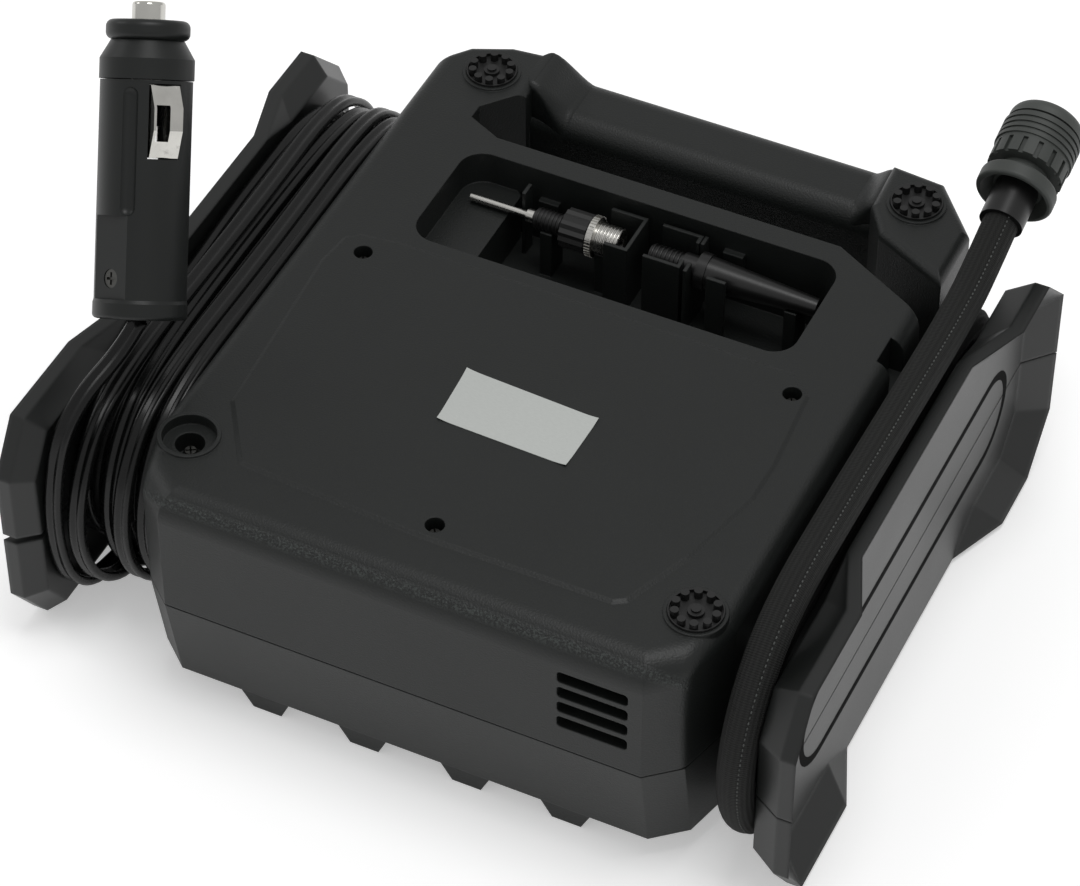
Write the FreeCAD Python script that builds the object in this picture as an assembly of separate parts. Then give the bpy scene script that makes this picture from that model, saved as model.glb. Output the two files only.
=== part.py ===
import FreeCAD
import Part

import math
import os

# Portable tire inflator, all sizes in millimetres
# The unit lies on its display face with its footed base up, as in the photograph.
# X runs along the near wall, Y from the near wall to the carrying handle, Z up from the floor.
# The model is built with X = 0 on the middle of the housing and Y = 0 on the near wall,
# and PLACE then moves the origin to the middle of the footprint, on the floor.

# Housing
HEIGHT = 67.0
SEAM = 33.2
SEAM_GAP = 0.3
HALF_WIDTH = 70.6
DEPTH = 140.5
WALL = 2.6
EDGE_ROUND = 4.5
NEAR_ROUND = 7.0
BLOCK_ROUND = 2.5
PANEL_STEP = 0.5
PANEL_SLOPE = 2.0
NOTCH_X = 67.2
NOTCH_Y = (108.8, 117.4)
NOTCH_LOW = 57.0
NEAR_CHAMFER_X = 11.8
NEAR_CHAMFER_Y = 6.5
SIDE_CHAMFER_X = 4.2
SIDE_CHAMFER_Y = 16.0
FRONT_FACE = 7.0
FRONT_DRAFT = 4.8

# Handle, with the finger slot between it and the base face
BLOCK_FAR = 174.5
SLOT_LEFT = -52.8
SLOT_RIGHT = 45.1
BAR_WIDTH = 19.5
BAR_FAR = 180.0
BAR_LOW = 12.0
BAR_HIGH = 59.0
BAR_ROUND = 6.0
WEB_LEFT = 8.0
WEB_RIGHT = 4.0
CHANNEL = 13.6

# Feet and screws
FOOT_RADIUS = 6.2
FOOT_HEIGHT = 2.4
FOOT_PROUD = 2.1
FOOT_SEAT = 0.03
RING_WIDTH = 0.9
RING_HEIGHT = 0.5
STUD_COUNT = 10
STUD_RADIUS = 0.95
STUD_CIRCLE = 4.75
STUD_HEIGHT = 1.1
STUD_EDGE = 0.3
SCREW_HEAD_RADIUS = 1.95
SCREW_SHANK_RADIUS = 1.1
SCREW_HOLE_RADIUS = 1.3
SCREW_HEAD_HEIGHT = 1.8
SCREW_GRIP = 9.0
BOSS_RADIUS = 4.2
FOOT_RECESS = 3.4
PANEL_RECESS = 2.25
RECESS_DEPTH = 5.0
NEAR_FOOT = (61.7, 20.7)
FAR_FOOT = (55.6, 161.7)
PANEL_SCREWS = ((-54.1, 90.4), (0.0, 19.4), (54.3, 90.3))

# Accessory compartment
POCKET_X = (-48.0, 48.5)
POCKET_Y = (101.0, 134.5)
POCKET_ROUND = 6.0
POCKET_DEPTH = 22.0
POCKET_STEP_X = -34.0
POCKET_STEP_DEPTH = 9.0
POCKET_WALL = 2.0
ITEM_Y = 126.5
ITEM_Z = HEIGHT - 7.5
CLIP_TOP = HEIGHT - 2.7
CLIP_WIDTH = 0.9
CLIPS = (
    ((-30.8, 128.4), (-30.8, 131.4)),
    ((-9.2, 132.3), (-0.8, 132.3), (-0.8, 120.7), (-6.0, 120.7)),
    ((4.0, 132.4), (13.4, 132.4), (13.4, 130.4)),
    ((4.0, 120.8), (12.6, 120.8), (12.6, 122.8)),
    ((20.5, 120.2), (24.4, 120.2)),
)
SADDLES = ((-22.8, 2.5), (-8.6, 3.6), (13.9, 3.2), (40.0, 2.7))
SADDLE_WIDTH = 3.0
NECK_X = 14.6
NECK_NOTCH = 3.5
PEGS = ((-29.3, 58.6), (18.6, 61.0))

# Louver
LOUVER_X = (38.6, 55.4)
LOUVER_Z = (40.4, 58.1)
LOUVER_SLOTS = 4
LOUVER_BAR = 1.4
LOUVER_ROUND = 1.0

# Tread lugs along the front face
LUG_X = (-38.0, -13.0, 13.0, 38.0)
LUG_FOOT = 7.2
LUG_ROOT = 14.0
LUG_NEAR = 5.7
LUG_LENGTH = 22.0

# Cord wraps
FLANGE_WALL = 3.6
FLANGE_HALF = 31.8
FLANGE_NEAR = 2.4
FLANGE_FAR = 163.0
FLANGE_TIP = 19.0
NEAR_LOBE = (11.0, 37.0, 53.0)
FAR_LOBE = (150.7, 134.0, 118.0)
LEFT_LIP = 4.4
RIGHT_LIP = 6.5
LIP_INSIDE = 3.8
LIP_OUTSIDE = 7.2
LIP_KNEE = 4.0
SPLIT_GAP = 1.8
SPLIT_FAR = 10.5
LEFT_GAP = 23.8
RIGHT_GAP = 12.7
LEFT_HUB = 22.8
RIGHT_HUB = 16.3
GROOVE_HALF = 12.7
GROOVE_NEAR = 22.0
GROOVE_FAR = 146.0
GROOVE_WIDTH = 1.5
GROOVE_DEPTH = 1.1

# Hose and chuck
HOSE_RADIUS = 4.25
HOSE_INNER_X = HALF_WIDTH + 5.6
HOSE_OUTER_X = HALF_WIDTH + 8.0
HOSE_INNER_TOP = 57.7
HOSE_INNER_TURN = 21.0
HOSE_BOTTOM = 5.2
HOSE_OUTER_TURN = 32.4
HOSE_NEAR = 38.0
HOSE_FAR = 128.0
HOSE_START = 97.0
GLAND_RADIUS = 5.4
GLAND_LENGTH = 8.0
CHUCK_FOOT = (HOSE_OUTER_X, 155.1, 75.4)
CHUCK_LEAN = 14.5
FERRULE_RADIUS = 5.3
FERRULE_LENGTH = 10.4
CHUCK_RADIUS = 9.5
CHUCK_LENGTH = 20.8
SKIRT_BELOW = 2.5
SKIRT_ABOVE = 1.5
SLEEVE_SLOT = 4.2
SLEEVE_RIBS = 4
CHUCK_BORE = 4.1
CHUCK_BORE_DEPTH = 9.0
CHUCK_CHAMBER = 3.7
CHUCK_CHAMBER_DEPTH = 4.5
CHUCK_TRAVEL = 3.0

# Power cord and plug
CORD_RADIUS = 2.0
CORD_PITCH = 4.7
CORD_FIRST_X = -HALF_WIDTH - 2.6
CORD_TURN = 30.5
CORD_TIGHT_NEAR = 46.0
CORD_LOOSE_NEAR = 38.5
CORD_FAR = 127.5
CORD_START = 60.0
CORD_CORE = 28.2
CORD_GLAND = (84.0, 59.4)
CORD_GLAND_RADIUS = 3.0
PLUG_FOOT = (-HALF_WIDTH - 10.4, 34.6, 83.0)
PLUG_LEAN = 41.7
PLUG_TURN = 22.4
PLUG_RADIUS = 10.6
PLUG_LIP = 4.4
PLUG_LENGTH = 70.6
PLUG_BODY = 53.1
PLUG_SHOULDER = 57.9
PLUG_COLLAR = 62.0
PLUG_COLLAR_TOP = 66.5
PLUG_COLLAR_RADIUS = 9.4
PLUG_NECK_RADIUS = 8.2
PLUG_BORE = 4.3
PLUG_TIP_RADIUS = 3.75
FUSE_LOW = 13.0
FUSE_LENGTH = 30.0
CONTACT_ANGLE = -57.2
CONTACT_WIDTH = 7.0
CONTACT_LOW = 36.0
CONTACT_HIGH = 52.0
CONTACT_PROUD = 1.6
CONTACT_TRAVEL = 1.5
PLUG_GROOVE_ANGLE = -101.7
PLUG_GROOVE = (22.6, 51.8)
GROOVE_SCOOP = 2.2
PLUG_FLAT_ANGLE = -129.5
PLUG_FLAT_TOP = 23.0
PLUG_FLAT_DEPTH = 1.5
PLUG_SCREW_HEIGHT = 9.0
PLUG_SCREW_RADIUS = 2.1
PLUG_SCREW_SINK = 1.2

# Pump
MOTOR_RADIUS = 18.0
MOTOR_X = (-60.0, -3.0)
MOTOR_Y = NEAR_FOOT[1] + BOSS_RADIUS + 1.1 + MOTOR_RADIUS
PINION_TEETH = 8
GEAR_TEETH = 42
MODULE = 1.0
TOOTH_TIP = 0.9
GEAR_X = (6.0, 11.0)
GEAR_ROOM = 0.5
AXIS_Z = HEIGHT - WALL - GEAR_ROOM - MODULE * (GEAR_TEETH / 2 + TOOTH_TIP)
SHAFT_RADIUS = 2.0
CRANK_RADIUS = 4.5
CRANK_X = 24.0
BORE_RADIUS = 12.0
CYLINDER_X = 32.0
CYLINDER_Y = (MOTOR_Y - 21.0, MOTOR_Y + 3.0)
CYLINDER_WALL = 2.5
HEAD_THICK = 5.0
FRAME_SHELF = 16.5
PISTON_Y = CYLINDER_Y[0] + 4.5
OUTLET_X = 51.0
OUTLET_END = CYLINDER_Y[0] + 6.0
AIR_TUBE_RADIUS = 2.2
AIR_TUBE_BENDS = ((57.0, 64.0, 39.5),)
UNION = (HALF_WIDTH - 7.1, 111.0, 22.0)

# Controls on the front face
WINDOW_X = 22.0
WINDOW_Y = (66.0, 94.0)
BOARD_LOW = 13.6
BOARD_THICK = 1.6
BUTTON_TRAVEL = 0.8
BUTTON_PROUD = 1.0
BUTTONS = {
    "minus_button": (-38.0, 88.0, 5.0),
    "plus_button": (38.0, 88.0, 5.0),
    "unit_button": (-38.0, 70.0, 5.0),
    "light_button": (38.0, 70.0, 5.0),
    "start_button": (0.0, 55.0, 6.5),
}
LIGHT_Y = 105.0
LIGHT_RADIUS = 8.0

# Clearances
RUN_GAP = 0.3
SEAT_GAP = 0.02
FIT_GAP = 0.05

LEFT_INNER = -(HALF_WIDTH + LEFT_GAP)
LEFT_OUTER = LEFT_INNER - FLANGE_WALL
RIGHT_INNER = HALF_WIDTH + RIGHT_GAP
RIGHT_OUTER = RIGHT_INNER + FLANGE_WALL
MID_X = (RIGHT_OUTER + RIGHT_LIP + LEFT_OUTER - LEFT_LIP) / 2
MID_Y = BAR_FAR / 2
GEAR_Y = MOTOR_Y + MODULE * (PINION_TEETH + GEAR_TEETH) / 2
PLACE = FreeCAD.Vector(-MID_X, -MID_Y, 0)


def v(x, y, z):
    return FreeCAD.Vector(x, y, z)


def box(x_range, y_range, z_range):
    size = [high - low for low, high in (x_range, y_range, z_range)]
    return Part.makeBox(*size, v(x_range[0], y_range[0], z_range[0]))


def rod(radius, start, end):
    span = v(*end) - v(*start)
    return Part.makeCylinder(radius, span.Length, v(*start), span)


def ring(outer, inner, start, end):
    return rod(outer, start, end).cut(rod(inner, start, end))


def outline(points, height):
    corners = [v(x, y, height) for x, y in points]
    return Part.makePolygon(corners + corners[:1])


def prism(points, low, high):
    return Part.Face(outline(points, low)).extrude(v(0, 0, high - low))


def side_prism(points, low, high):
    """Extrude an outline given as (y, z) points along X."""
    corners = [v(low, y, z) for y, z in points]
    return Part.Face(Part.makePolygon(corners + corners[:1])).extrude(v(high - low, 0, 0))


def taper(low_points, low, high_points, high):
    return Part.makeLoft([outline(low_points, low), outline(high_points, high)], True, True)


def polyhedron(faces):
    """A solid bounded by flat faces, each given by its corners."""
    shell = Part.makeShell([Part.Face(Part.makePolygon([v(*p) for p in face + face[:1]])) for face in faces])
    solid = Part.makeSolid(shell)
    return solid if solid.Volume > 0 else solid.reversed()


def inset(points, distance):
    """Move each side of an anticlockwise outline inwards by the distance."""
    result = []
    count = len(points)
    for index in range(count):
        before, here, after = points[index - 1], points[index], points[(index + 1) % count]
        first = math.atan2(here[1] - before[1], here[0] - before[0])
        second = math.atan2(after[1] - here[1], after[0] - here[0])
        reach = distance / math.cos((second - first) / 2)
        middle = (first + second) / 2
        if abs(second - first) > math.pi:
            middle += math.pi
            reach = -reach
        result.append((here[0] - reach * math.sin(middle), here[1] + reach * math.cos(middle)))
    return result


def rounded_box(x_range, y_range, z_range, radius):
    block = box(x_range, y_range, z_range)
    upright = [edge for edge in block.Edges if abs(edge.tangentAt(edge.FirstParameter).z) > 0.9]
    return block.makeFillet(radius, upright)


def slotted_bar(half, near, far, middle, low, high):
    """A bar of stadium section in Y and Z, extruded along X."""
    body = box((low, high), (near + half, far - half), (middle - half, middle + half))
    for end in (near + half, far - half):
        body = body.fuse(rod(half, (low, end, middle), (high, end, middle)))
    return body.removeSplitter()


def below(shape, height):
    return shape.common(box((-200, 200), (-50, 250), (-10, height)))


def above(shape, height):
    return shape.common(box((-200, 200), (-50, 250), (height, 200)))


def near_corners(draft):
    """The near wall and its two chamfered corners, from left to right."""
    x1 = HALF_WIDTH - SIDE_CHAMFER_X - NEAR_CHAMFER_X + NEAR_CHAMFER_Y * 0.65
    x2 = HALF_WIDTH - SIDE_CHAMFER_X
    y2 = NEAR_CHAMFER_Y + draft
    y3 = NEAR_CHAMFER_Y + SIDE_CHAMFER_Y + draft
    right = [(x1, draft), (x2, y2), (HALF_WIDTH, y3)]
    left = [(-x, y) for x, y in reversed(right)]
    return left, right


def left_block():
    """The far-left block beside the handle, anticlockwise from its far end."""
    return [
        (-44.9, BLOCK_FAR),
        (-55.2, BLOCK_FAR - 1.2),
        (-64.8, BLOCK_FAR - 5.6),
        (-HALF_WIDTH, BLOCK_FAR - 13.0),
    ]


def base_outline():
    """The base face with the far-left block, anticlockwise from the near wall."""
    left, right = near_corners(0.0)
    slot = [
        (HALF_WIDTH, DEPTH - CHANNEL),
        (SLOT_RIGHT, DEPTH),
        (SLOT_LEFT + 9.0, DEPTH),
        (SLOT_LEFT, DEPTH + 4.3),
        (SLOT_LEFT, DEPTH + 8.5),
        (-44.9, DEPTH + 18.0),
    ]
    return right + slot + left_block() + left


def post_outline():
    """The far-right block, which stands across the channel from the base face."""
    return [
        (SLOT_RIGHT + 0.6, 157.8),
        (51.2, 149.2),
        (HALF_WIDTH, 139.6),
        (HALF_WIDTH, 158.0),
        (58.8, BLOCK_FAR - 2.4),
        (SLOT_RIGHT, BLOCK_FAR - 1.2),
    ]


def front_outline(draft):
    """The lower half's outline, with both blocks, anticlockwise from the near wall."""
    left, right = near_corners(draft)
    far = BLOCK_FAR - draft * 0.6
    ends = [
        (HALF_WIDTH, 157.0 - draft * 0.6),
        (58.8, far - 2.4),
        (SLOT_RIGHT, far - 1.2),
        (SLOT_RIGHT, DEPTH),
        (SLOT_LEFT + 9.0, DEPTH),
        (SLOT_LEFT, DEPTH + 4.3),
        (SLOT_LEFT, DEPTH + 8.5),
        (-44.9, DEPTH + 18.0),
        (-44.9, far),
        (-55.2, far - 1.2),
        (-64.8, far - 5.6),
        (-HALF_WIDTH, far - 13.0),
    ]
    return right + ends + left


def round_top(block, height, radius, y_range):
    """Round the outer edges of a block's top whose middles lie in a range of Y, but not the finger slot's."""
    chosen = []
    for edge in block.Edges:
        middle = edge.CenterOfMass
        level = abs(middle.z - height) < 0.01 and abs(edge.tangentAt(edge.FirstParameter).z) < 0.01
        at_slot = DEPTH - 8 < middle.y < DEPTH + 19 and abs(middle.x) < 60 and middle.x < SLOT_RIGHT + 14
        if level and y_range[0] < middle.y < y_range[1] and not at_slot:
            chosen.append(edge)
    return block.makeFillet(radius, chosen)


def base_panel():
    """The soft step that raises the middle of the base face."""
    low = [(44.8, 14.2), (48.2, 16.4), (55.1, 34.0), (60.7, 56.5), (61.0, 68.1), (59.1, 91.9), (52.4, 97.9),
           (-48.0, 98.6), (-58.2, 97.2), (-61.8, 94.1), (-63.1, 84.4), (-59.7, 33.9), (-48.2, 16.5), (-0.7, 13.8)]
    foot = HEIGHT - PANEL_STEP
    return taper(low, foot, inset(low, PANEL_SLOPE), HEIGHT + PANEL_STEP)


def handle_bar(low, high):
    """The rounded bar between the two blocks, cut to a range of heights."""
    left, right = -44.9 - 6.0, SLOT_RIGHT + 6.0
    body = box((left, right), (BAR_FAR - BAR_WIDTH, BAR_FAR), (BAR_LOW, BAR_HIGH))
    along = [edge for edge in body.Edges if abs(edge.tangentAt(edge.FirstParameter).x) > 0.9]
    return above(below(body.makeFillet(BAR_ROUND, along), high), low)


def handle_web(x, radius, outward):
    """The hollow curve that leads from a block's side down to the bar's top."""
    low, high = BAR_HIGH - 1.0, BAR_HIGH + radius
    near, far = BAR_FAR - BAR_WIDTH + BAR_ROUND / 2, BAR_FAR - BAR_ROUND
    edge = x + outward * radius
    web = box((min(x - outward, edge), max(x - outward, edge)), (near, far), (low, high))
    return web.cut(rod(radius, (edge, near - 1, high), (edge, far + 1, high)))


def foot_places():
    left_near, right_near = (-NEAR_FOOT[0], NEAR_FOOT[1]), NEAR_FOOT
    left_far, right_far = (-FAR_FOOT[0], FAR_FOOT[1]), FAR_FOOT
    return [left_far, right_far, right_near, left_near]


def screw_places():
    """Each screw's X, Y, the height of the seat under its head and the radius of its recess."""
    feet = [(x, y, HEIGHT - FOOT_HEIGHT - RECESS_DEPTH, FOOT_RECESS) for x, y in foot_places()]
    panel = [(x, y, HEIGHT - RECESS_DEPTH, PANEL_RECESS) for x, y in PANEL_SCREWS]
    return feet + panel


def rear_shell():
    """The upper half: base face, blocks, compartment, louver, screw bosses and foot rings."""
    seam = SEAM + SEAM_GAP / 2
    outer = prism(base_outline(), seam, HEIGHT)
    outer = round_top(outer, HEIGHT, NEAR_ROUND, (-1, 10))
    outer = round_top(outer, HEIGHT, EDGE_ROUND, (10, DEPTH))
    outer = round_top(outer, HEIGHT, BLOCK_ROUND, (DEPTH, 200))
    hollow = prism(inset(base_outline(), WALL), seam - 1, HEIGHT - WALL)
    post = prism(post_outline(), seam, HEIGHT)
    post = post.makeFillet(BLOCK_ROUND, [e for e in post.Edges if abs(e.CenterOfMass.z - HEIGHT) < 0.01])
    post = post.cut(prism(inset(post_outline(), WALL), seam - 1, HEIGHT - WALL))
    bar = handle_bar(seam, BAR_HIGH)
    bar = bar.fuse([handle_web(-44.9, WEB_LEFT, 1), handle_web(SLOT_RIGHT, WEB_RIGHT, -1)])
    backing = box((NOTCH_X - WALL, HALF_WIDTH - 1), (NOTCH_Y[0] - WALL, NOTCH_Y[1] + WALL),
                  (NOTCH_LOW - WALL, HEIGHT - WALL + 0.5))
    shell = outer.cut(hollow).fuse([base_panel(), backing])
    shell = shell.cut(box((NOTCH_X, HALF_WIDTH + 1), NOTCH_Y, (NOTCH_LOW, HEIGHT + 1)))
    pocket_floor = HEIGHT - POCKET_DEPTH
    walls = rounded_box((POCKET_X[0] - POCKET_WALL, POCKET_X[1] + POCKET_WALL),
                        (POCKET_Y[0] - POCKET_WALL, POCKET_Y[1] + POCKET_WALL),
                        (pocket_floor - POCKET_WALL, HEIGHT - WALL), POCKET_ROUND + POCKET_WALL)
    shell = shell.fuse(walls)
    for x, y, seat, recess in screw_places():
        shell = shell.fuse(rod(BOSS_RADIUS, (x, y, seam), (x, y, HEIGHT - WALL)))
    for x, y in foot_places():
        rim = FOOT_RADIUS + FIT_GAP + RING_WIDTH
        shell_ring = rod(rim, (x, y, HEIGHT - WALL), (x, y, HEIGHT + RING_HEIGHT))
        if x > 0 and y > DEPTH:
            post = post.fuse(shell_ring)
        else:
            shell = shell.fuse(shell_ring)
    shell = shell.fuse([post, bar])
    pocket = rounded_box(POCKET_X, POCKET_Y, (pocket_floor, HEIGHT + 1), POCKET_ROUND)
    step = rounded_box((POCKET_X[0], POCKET_STEP_X), POCKET_Y,
                       (pocket_floor, HEIGHT - POCKET_STEP_DEPTH), 2.0)
    shell = shell.cut(pocket.cut(step))
    shell = shell.fuse(pocket_fittings(pocket_floor - 0.5))
    for x, y in foot_places():
        shell = shell.cut(rod(FOOT_RADIUS + FIT_GAP, (x, y, HEIGHT - FOOT_HEIGHT), (x, y, HEIGHT + 1)))
    for x, y, seat, recess in screw_places():
        shell = shell.cut(rod(recess, (x, y, seat), (x, y, HEIGHT + 1)))
        shell = shell.cut(rod(SCREW_HOLE_RADIUS, (x, y, seam - 1), (x, y, seat)))
    shell = shell.cut(louver_slots())
    return shell.cut(cord_gland_hole())


def thin_wall(points, low, high):
    """An upright wall of the clips' width along a line of points."""
    half = CLIP_WIDTH / 2
    runs = []
    for (x0, y0), (x1, y1) in zip(points, points[1:]):
        runs.append(box((min(x0, x1) - half, max(x0, x1) + half), (min(y0, y1) - half, max(y0, y1) + half), (low, high)))
    return runs[0].multiFuse(runs[1:]).removeSplitter() if len(runs) > 1 else runs[0]


def pocket_fittings(floor):
    """The thin clips, the saddles and the pegs that keep the accessories in the compartment."""
    fittings = [thin_wall(points, floor, CLIP_TOP) for points in CLIPS]
    for x, radius in SADDLES:
        half = SADDLE_WIDTH / 2
        saddle = box((x - half, x + half), (ITEM_Y - 3.2, ITEM_Y + 3.2), (floor, ITEM_Z - 0.5 * radius))
        fittings.append(saddle.cut(rod(radius + RUN_GAP, (x - 3, ITEM_Y, ITEM_Z), (x + 3, ITEM_Y, ITEM_Z))))
    neck = thin_wall([(NECK_X, ITEM_Y - 6.2), (NECK_X, ITEM_Y + 6.0)], floor, CLIP_TOP)
    neck = neck.cut(rod(NECK_NOTCH, (NECK_X - 1, ITEM_Y, ITEM_Z), (NECK_X + 1, ITEM_Y, ITEM_Z)))
    fittings.append(neck.cut(box((NECK_X - 1, NECK_X + 1), (ITEM_Y - NECK_NOTCH, ITEM_Y + NECK_NOTCH), (ITEM_Z, HEIGHT))))
    for x, z in PEGS:
        fittings.append(box((x, x + 5.2), (POCKET_Y[1] - 1.6, POCKET_Y[1] + 0.5), (z - 6.0, z)))
    return fittings


def louver_slots():
    """Horizontal slots with rounded ends through the near wall, with bars between them."""
    pitch = (LOUVER_Z[1] - LOUVER_Z[0] + LOUVER_BAR) / LOUVER_SLOTS
    slots = []
    for index in range(LOUVER_SLOTS):
        low = LOUVER_Z[0] + index * pitch
        slot = box(LOUVER_X, (-1, WALL + 1), (low, low + pitch - LOUVER_BAR))
        ends = [edge for edge in slot.Edges if abs(edge.tangentAt(edge.FirstParameter).y) > 0.9]
        slots.append(slot.makeFillet(LOUVER_ROUND, ends))
    return Part.makeCompound(slots)


def lug(x, near, outward):
    """One tread lug: a tapered block whose outer face follows the shell's slant."""
    far = near + LUG_LENGTH * outward
    low = [(x - LUG_FOOT / 2, near + outward), (x + LUG_FOOT / 2, near + outward),
           (x + LUG_FOOT / 2, far - 4 * outward), (x - LUG_FOOT / 2, far - 4 * outward)]
    high = [(x - LUG_ROOT / 2, near), (x + LUG_ROOT / 2, near),
            (x + LUG_ROOT / 2, far), (x - LUG_ROOT / 2, far)]
    return taper(low, 0, high, FRONT_FACE + 0.5)


def front_shell():
    """The lower half: display face, tread lugs, supports and the far blocks' lower halves."""
    seam = SEAM - SEAM_GAP / 2
    outer = taper(front_outline(FRONT_DRAFT), FRONT_FACE, front_outline(0.0), seam)
    hollow = taper(inset(front_outline(FRONT_DRAFT), WALL), FRONT_FACE + WALL,
                   inset(front_outline(0.0), WALL), seam + 0.01)
    shell = outer.cut(hollow)
    for x, y, seat, recess in screw_places():
        shell = shell.fuse(rod(BOSS_RADIUS, (x, y, FRONT_FACE + WALL - 0.5), (x, y, seam)))
    deck = [(SLOT_RIGHT, DEPTH - 6), (HALF_WIDTH, DEPTH - CHANNEL - 6), (HALF_WIDTH, 156.0), (SLOT_RIGHT, 160.0)]
    shell = shell.fuse([handle_bar(BAR_LOW, seam), prism(deck, seam - WALL, seam)])
    for x in LUG_X:
        shell = shell.fuse(lug(x, LUG_NEAR, 1))
        shell = shell.fuse(lug(x, DEPTH - 3.0, -1))
    for part in supports():
        shell = shell.fuse(part)
    for x, y, seat, recess in screw_places():
        shell = shell.cut(rod(SCREW_SHANK_RADIUS + SEAT_GAP, (x, y, SEAM - SCREW_GRIP - 1), (x, y, seam + 1)))
    window = (WINDOW_X + FIT_GAP, WINDOW_Y[0] - FIT_GAP, WINDOW_Y[1] + FIT_GAP)
    shell = shell.cut(box((-window[0], window[0]), window[1:], (FRONT_FACE - 1, FRONT_FACE + 1.6)))
    shell = shell.cut(box((3 - window[0], window[0] - 3), (window[1] + 3, window[2] - 3),
                          (FRONT_FACE, FRONT_FACE + WALL + 1)))
    for x, y, radius in BUTTONS.values():
        shell = shell.cut(rod(radius + RUN_GAP, (x, y, FRONT_FACE - 1), (x, y, FRONT_FACE + WALL + 1)))
    shell = shell.cut(rod(LIGHT_RADIUS + FIT_GAP, (0, LIGHT_Y, FRONT_FACE - 1), (0, LIGHT_Y, FRONT_FACE + WALL + 1)))
    return shell


def supports():
    """Ribs and posts on the front shell that carry the motor, the pump frame and the board."""
    floor = FRONT_FACE + WALL - 0.5
    parts = []
    for x in (-52.0, -16.0):
        rib = box((x, x + 2), (MOTOR_Y - 14, MOTOR_Y + 14), (floor, AXIS_Z - 11))
        parts.append(rib.cut(rod(MOTOR_RADIUS + FIT_GAP, (x - 1, MOTOR_Y, AXIS_Z), (x + 3, MOTOR_Y, AXIS_Z))))
    for x in (-42.0, 42.0):
        parts.append(rod(2.5, (x, 79, floor), (x, 79, BOARD_LOW)))
    for x in (1.0, 44.0):
        parts.append(rod(3.0, (x, 34, floor), (x, 34, FRAME_SHELF)))
    return parts


def lobe(inner, outer, rise, tip, places):
    """One flared end of a flange: flat facets that turn outwards round its tip."""
    corner, start, fade = places
    outward = 1 if tip > corner else -1
    middle = (fade + start) / 2 - 40 * outward
    rim = [(middle, -FLANGE_HALF), (corner, -FLANGE_HALF), (tip, -FLANGE_TIP),
           (tip, FLANGE_TIP), (corner, FLANGE_HALF), (middle, FLANGE_HALF)]
    faces = []
    for x, width in ((outer, LIP_OUTSIDE), (inner, LIP_INSIDE)):
        bend = inset(rim if outward > 0 else rim[::-1], width)
        bend = bend if outward > 0 else bend[::-1]
        low_bend = [(start - LIP_KNEE * outward, bend[1][1]), bend[1], bend[2]]
        high_bend = [(start - LIP_KNEE * outward, bend[4][1]), bend[4], bend[3]]
        for bends, sign in ((low_bend, -1), (high_bend, 1)):
            bends = [(x, y, SEAM + z) for y, z in bends]
            root = (x, fade, SEAM + sign * FLANGE_HALF)
            edge = [(x + rise, start, SEAM + sign * FLANGE_HALF), (x + rise, corner, SEAM + sign * FLANGE_HALF),
                    (x + rise, tip, SEAM + sign * FLANGE_TIP)]
            faces.append([root, edge[0], bends[0]])
            faces.append([edge[0], edge[1], bends[1], bends[0]])
            faces.append([edge[1], edge[2], bends[2], bends[1]])
        low = [(x, y, SEAM + z) for y, z in low_bend]
        high = [(x, y, SEAM + z) for y, z in high_bend]
        faces.append([(x + rise, tip, SEAM - FLANGE_TIP), (x + rise, tip, SEAM + FLANGE_TIP), high[2], low[2]])
        faces.append([(x, fade, SEAM - FLANGE_HALF), *low, *high[::-1], (x, fade, SEAM + FLANGE_HALF)])
    for sign in (-1, 1):
        height = SEAM + sign * FLANGE_HALF
        faces.append([(inner, fade, height), (inner + rise, start, height), (inner + rise, corner, height),
                      (outer + rise, corner, height), (outer + rise, start, height), (outer, fade, height)])
        faces.append([(inner + rise, corner, height), (inner + rise, tip, SEAM + sign * FLANGE_TIP),
                      (outer + rise, tip, SEAM + sign * FLANGE_TIP), (outer + rise, corner, height)])
    faces.append([(x, tip, SEAM + z) for x, z in ((inner + rise, -FLANGE_TIP), (outer + rise, -FLANGE_TIP),
                                                  (outer + rise, FLANGE_TIP), (inner + rise, FLANGE_TIP))])
    faces.append([(x, fade, SEAM + z) for x, z in ((inner, -FLANGE_HALF), (outer, -FLANGE_HALF),
                                                   (outer, FLANGE_HALF), (inner, FLANGE_HALF))])
    return polyhedron(faces)


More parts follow.
